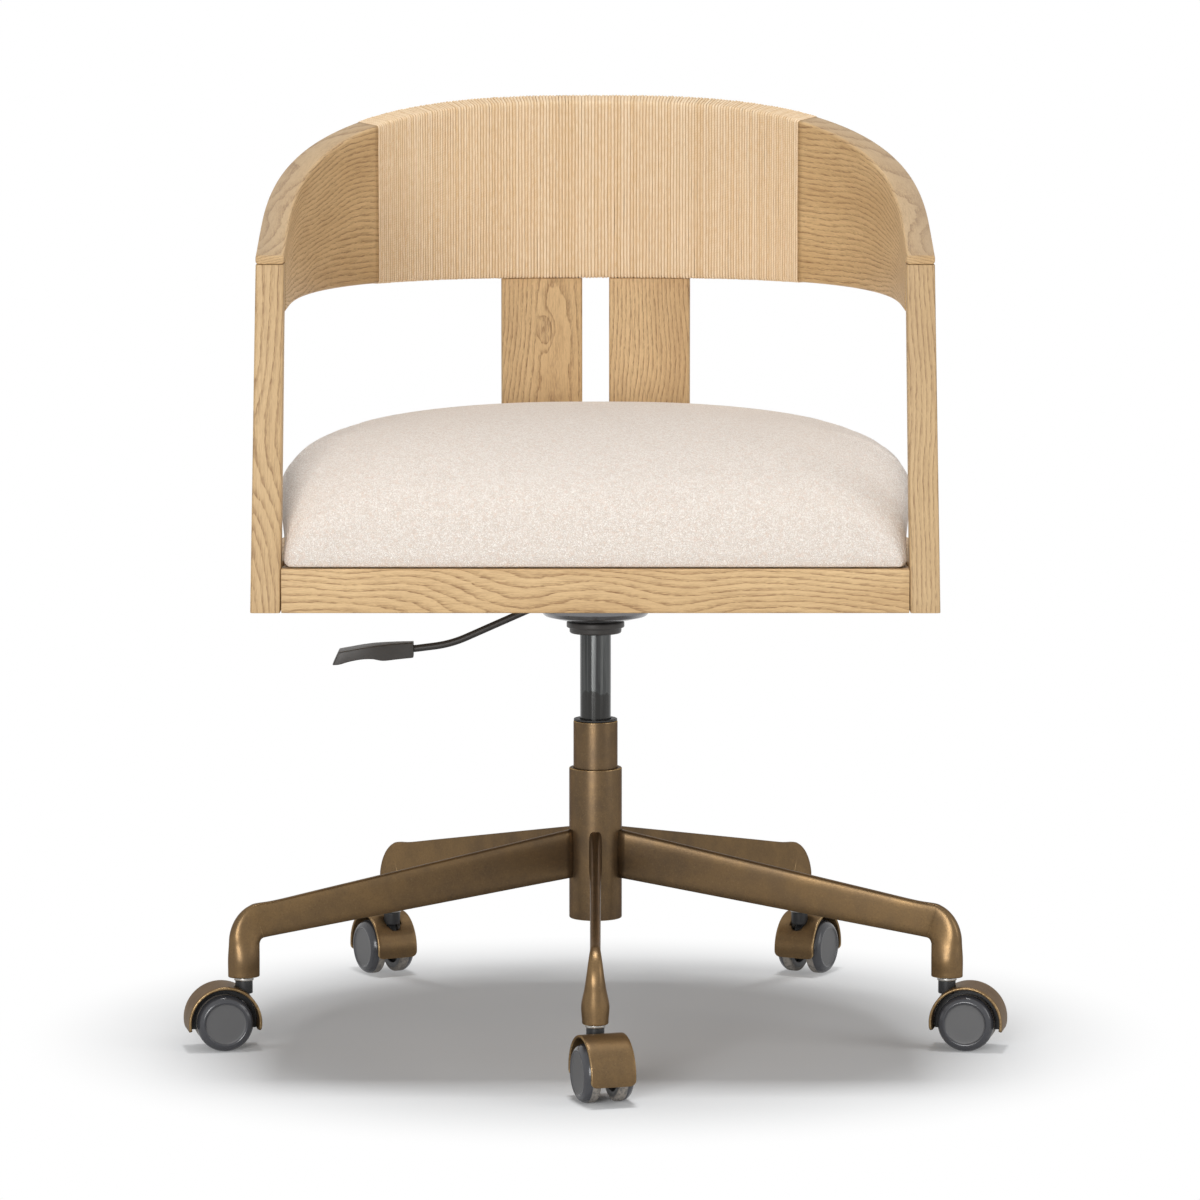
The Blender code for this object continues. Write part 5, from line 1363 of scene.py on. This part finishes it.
start = np.array([PIVOT_X - 0.002, PIVOT_Z - 0.0022])
lever_path = rounded([start, (BEND_X, BEND_Z), (ROOT_X + 0.002, ROOT_Z), (ROOT_X - 0.022, ROOT_Z - 0.002)],
                     (0, 0.0150, 0.003, 0), 12)
inside = np.linspace(0, 1, 12)[1:-1, None]
lever_path = np.vstack([lever_path[:1], lever_path[0] + (lever_path[1] - lever_path[0]) * inside, lever_path[1:]])
rod_mesh = grid_mesh("rod", tube_grid(lever_path, LEVER_RADIUS))
block_grid, *_ = bar_grid((PIVOT_X - 0.0070, 0, PIVOT_Z), (0.0020, 0, PIVOT_Z), (0, 1, 0), (0, 0, 1),
                          (0.0050, 0.0050), (0.0032, 0.0032), 0.0008)
lever_mesh = moved(joined("lever", [rod_mesh, grid_mesh("block", block_grid)]), AXIS)
piece("lever_arm", lever_mesh, "lever", BLACK_STEEL, "lever_rod")


# %% The paddle
PADDLE_SECTIONS = [
    (0.0000, 0.0060, 0.0000, -0.0077, 0.0140), (0.0135, 0.0054, 0.0135, -0.0088, 0.0185),
    (0.0270, 0.0044, 0.0270, -0.0098, 0.0250), (0.0365, 0.0034, 0.0365, -0.0081, 0.0290),
    (0.0462, 0.0020, 0.0462, -0.0083, 0.0310), (0.0560, 0.0002, 0.0570, -0.0103, 0.0312),
    (0.0625, -0.0009, 0.0655, -0.0128, 0.0308), (0.0671, -0.0017, 0.0719, -0.0135, 0.0290),
]


def paddle_grid(stations=60, corner_steps=6, radius=0.0011):
    """Rounded rectangles between a top and a low edge, given by reach and height, of a width.

    At both ends the section shrinks by a quarter circle, which eases the end face's edge.
    """
    rows = smooth_path(PADDLE_SECTIONS, stations)
    entry, shrink = (distance[:, None] for distance in quarter(0.0008, 5))
    entry, shrink = entry * [1, 0, 1, 0, 0], shrink * [0, -1, 0, 1, -2]
    rows = np.vstack([rows[0] + entry + shrink, rows[1:-1], (rows[-1] - entry + shrink)[::-1]])
    top_reach, top, low_reach, low, width = (rows[:, k:k + 1] for k in range(5))
    toward, cosine, sine = corner_ring(corner_steps)
    across = toward[:, 0] * (width / 2 - radius) + radius * cosine
    height = (top - low) / 2
    up = (toward[:, 1] * (height - radius) + radius * sine) / height
    reach = low_reach + (top_reach - low_reach) * (1 + up) / 2
    return np.stack([ROOT_X - reach, across, ROOT_Z + (top + low) / 2 + height * up], 2)


paddle_mesh = moved(grid_mesh("paddle", paddle_grid()), AXIS)
piece("lever_grip", paddle_mesh, "lever", BLACK_PLASTIC, "lever_paddle")

# %% [markdown]
# ## Parts that keep their solid shape
# Flat plates and hidden inner parts already have the right shape, so their solids stay, and only take a
# better material.

# %% Plywood, and finishes for the solids that stay
def plywood_finish():
    ply = Finish("plywood", (0.55, 0.40, 0.24), 0.70)
    place = ply.object_place()
    layer = (ply.parts(place)[2] / 0.0024).fraction()
    sheet = layer.ramp(0.42, 0.5) * layer.ramp(1.0, 0.94)
    fibre = ply.stretched_noise(place, (12.0, 500.0, 900.0), 3.0, 0.6)
    colour = ply.mix(sheet * 0.5, (0.60, 0.43, 0.25), (0.36, 0.23, 0.12))
    colour = ply.mix(fibre.ramp(0.4, 0.8) * 0.5, colour, (0.34, 0.22, 0.12))
    ply.set("Base Color", colour)
    ply.set("Roughness", 0.60 + fibre * 0.2)
    ply.bump(fibre, 0.00020, 0.5)
    return ply.material


def dress(finish, *names):
    for name in names:
        mark_edges(NODES[name].data)
        NODES[name].material_slots[0].material = finish
        print("dressed", name)


dress(plywood_finish(), "seat_board")
dress(BLACK_STEEL, "mount_plate", "lever_bracket")
dress(STEEL, "thrust_bearing", "piston_rod", "rod_clip", "release_pin", "lever_pin")

# %% [markdown]
# ## Floor, light and camera
# The chair stands on a white floor in a plain studio. A lamp high above gives the round shadow under the seat,
# a large soft one stands low in front, a weaker one to the right, and the world is even and pale. From about
# 0.3 m round the column the floor fades into a white glow for the camera and reflections, which paints light
# over the outer part of the seat's shadow; from about 0.5 m out the floor is evenly white.


# %% The floor
def floor_finish():
    floor = Finish("white_floor", (1.0, 1.0, 1.0), 0.9)
    floor.set("Specular IOR Level", 0.0)
    path = floor.tree.nodes.new("ShaderNodeLightPath")
    seen = [Link(floor, path.outputs[name]) for name in ("Is Camera Ray", "Is Glossy Ray", "Is Transmission Ray")]
    clear = (seen[0] + seen[1] + seen[2]).limited()
    floor.set("Base Color", floor.mix(clear, (0.80, 0.80, 0.80), (0.800, 0.815, 0.830)))
    x, y, _ = floor.parts(floor.object_place())
    # Painted light: from 0.29 m to 0.52 m out the white glow mixes in over the seat's shadow.
    glow_over_shadow = (x * x + y * y).root().ramp(0.29, 0.52)
    white = floor.node("ShaderNodeEmission", {}, {"Color": (1.0, 1.0, 1.0, 1.0), "Strength": 1.0})
    lit = Link(floor, floor.shader.outputs[0])
    both = floor.node("ShaderNodeMixShader", {}, {0: clear * glow_over_shadow, 1: lit, 2: white})
    floor.put(floor.tree.nodes["Material Output"].inputs["Surface"], both)
    return floor.material


floor_mesh = bpy.data.meshes.new("studio_floor")
FLOOR_HALF = 40.0
floor_mesh.from_pydata([(-FLOOR_HALF, -FLOOR_HALF, 0), (FLOOR_HALF, -FLOOR_HALF, 0), (FLOOR_HALF, FLOOR_HALF, 0),
                        (-FLOOR_HALF, FLOOR_HALF, 0)], [], [(0, 1, 2, 3)])
floor_mesh.materials.append(floor_finish())
new_object("studio_floor", floor_mesh)


# %% The lights and the world
def soft_light(name, place, aim, size, power):
    """A square lamp that faces its aim."""
    lamp = bpy.data.lights.new(name, "AREA")
    lamp.shape = "SQUARE"
    lamp.size = size
    lamp.energy = power
    item = new_object(name, lamp)
    item.location = place
    item.rotation_mode = "QUATERNION"
    item.rotation_quaternion = (Vector(aim) - Vector(place)).to_track_quat("-Z", "Y")


soft_light("top_light", (0.0, 0.0, 6.0), (0.0, 0.0, 0.0), 1.1, 155.0)
soft_light("front_light", (-1.4, -5.0, 1.3), (0.0, 0.0, 0.45), 2.0, 155.0)
soft_light("right_light", (2.8, -1.2, 1.2), (0.0, 0.0, 0.4), 1.6, 18.0)
world = bpy.data.worlds.new("studio")
bpy.context.scene.world = world
world.use_nodes = True
sky = world.node_tree.nodes
links = world.node_tree.links
path = sky.new("ShaderNodeLightPath")
seen = path.outputs["Is Camera Ray"]
for ray in ("Is Glossy Ray", "Is Transmission Ray"):
    either = sky.new("ShaderNodeMath")
    either.use_clamp = True
    links.new(seen, either.inputs[0])
    links.new(path.outputs[ray], either.inputs[1])
    seen = either.outputs[0]
strength = sky.new("ShaderNodeMapRange")
links.new(seen, strength.inputs["Value"])
strength.inputs["To Min"].default_value = 0.28
strength.inputs["To Max"].default_value = 1.0
background = sky["Background"]
background.inputs["Color"].default_value = (1.0, 1.0, 1.0, 1.0)
links.new(strength.outputs[0], background.inputs["Strength"])

# %% The camera
CAMERA_DISTANCE, CAMERA_HEIGHT = 5.500, 1.029
CAMERA_SIDE, CAMERA_PITCH = 0.0040, 6.67
FOCAL_PIXELS, FRAME_PIXELS = 6207.0, 1200.0
camera_data = bpy.data.cameras.new("camera")
camera_data.sensor_width = 36.0
camera_data.lens = FOCAL_PIXELS / FRAME_PIXELS * camera_data.sensor_width
camera = new_object("camera", camera_data)
camera.location = (CAMERA_SIDE, AXIS[1] - CAMERA_DISTANCE, CAMERA_HEIGHT)
camera.rotation_euler = (math.radians(90 - CAMERA_PITCH), 0, 0)
camera_data.clip_start, camera_data.clip_end = 0.1, 100.0
bpy.context.scene.camera = camera
bpy.context.scene.view_settings.view_transform = "Standard"
print("lens", round(camera_data.lens, 1), "mm")
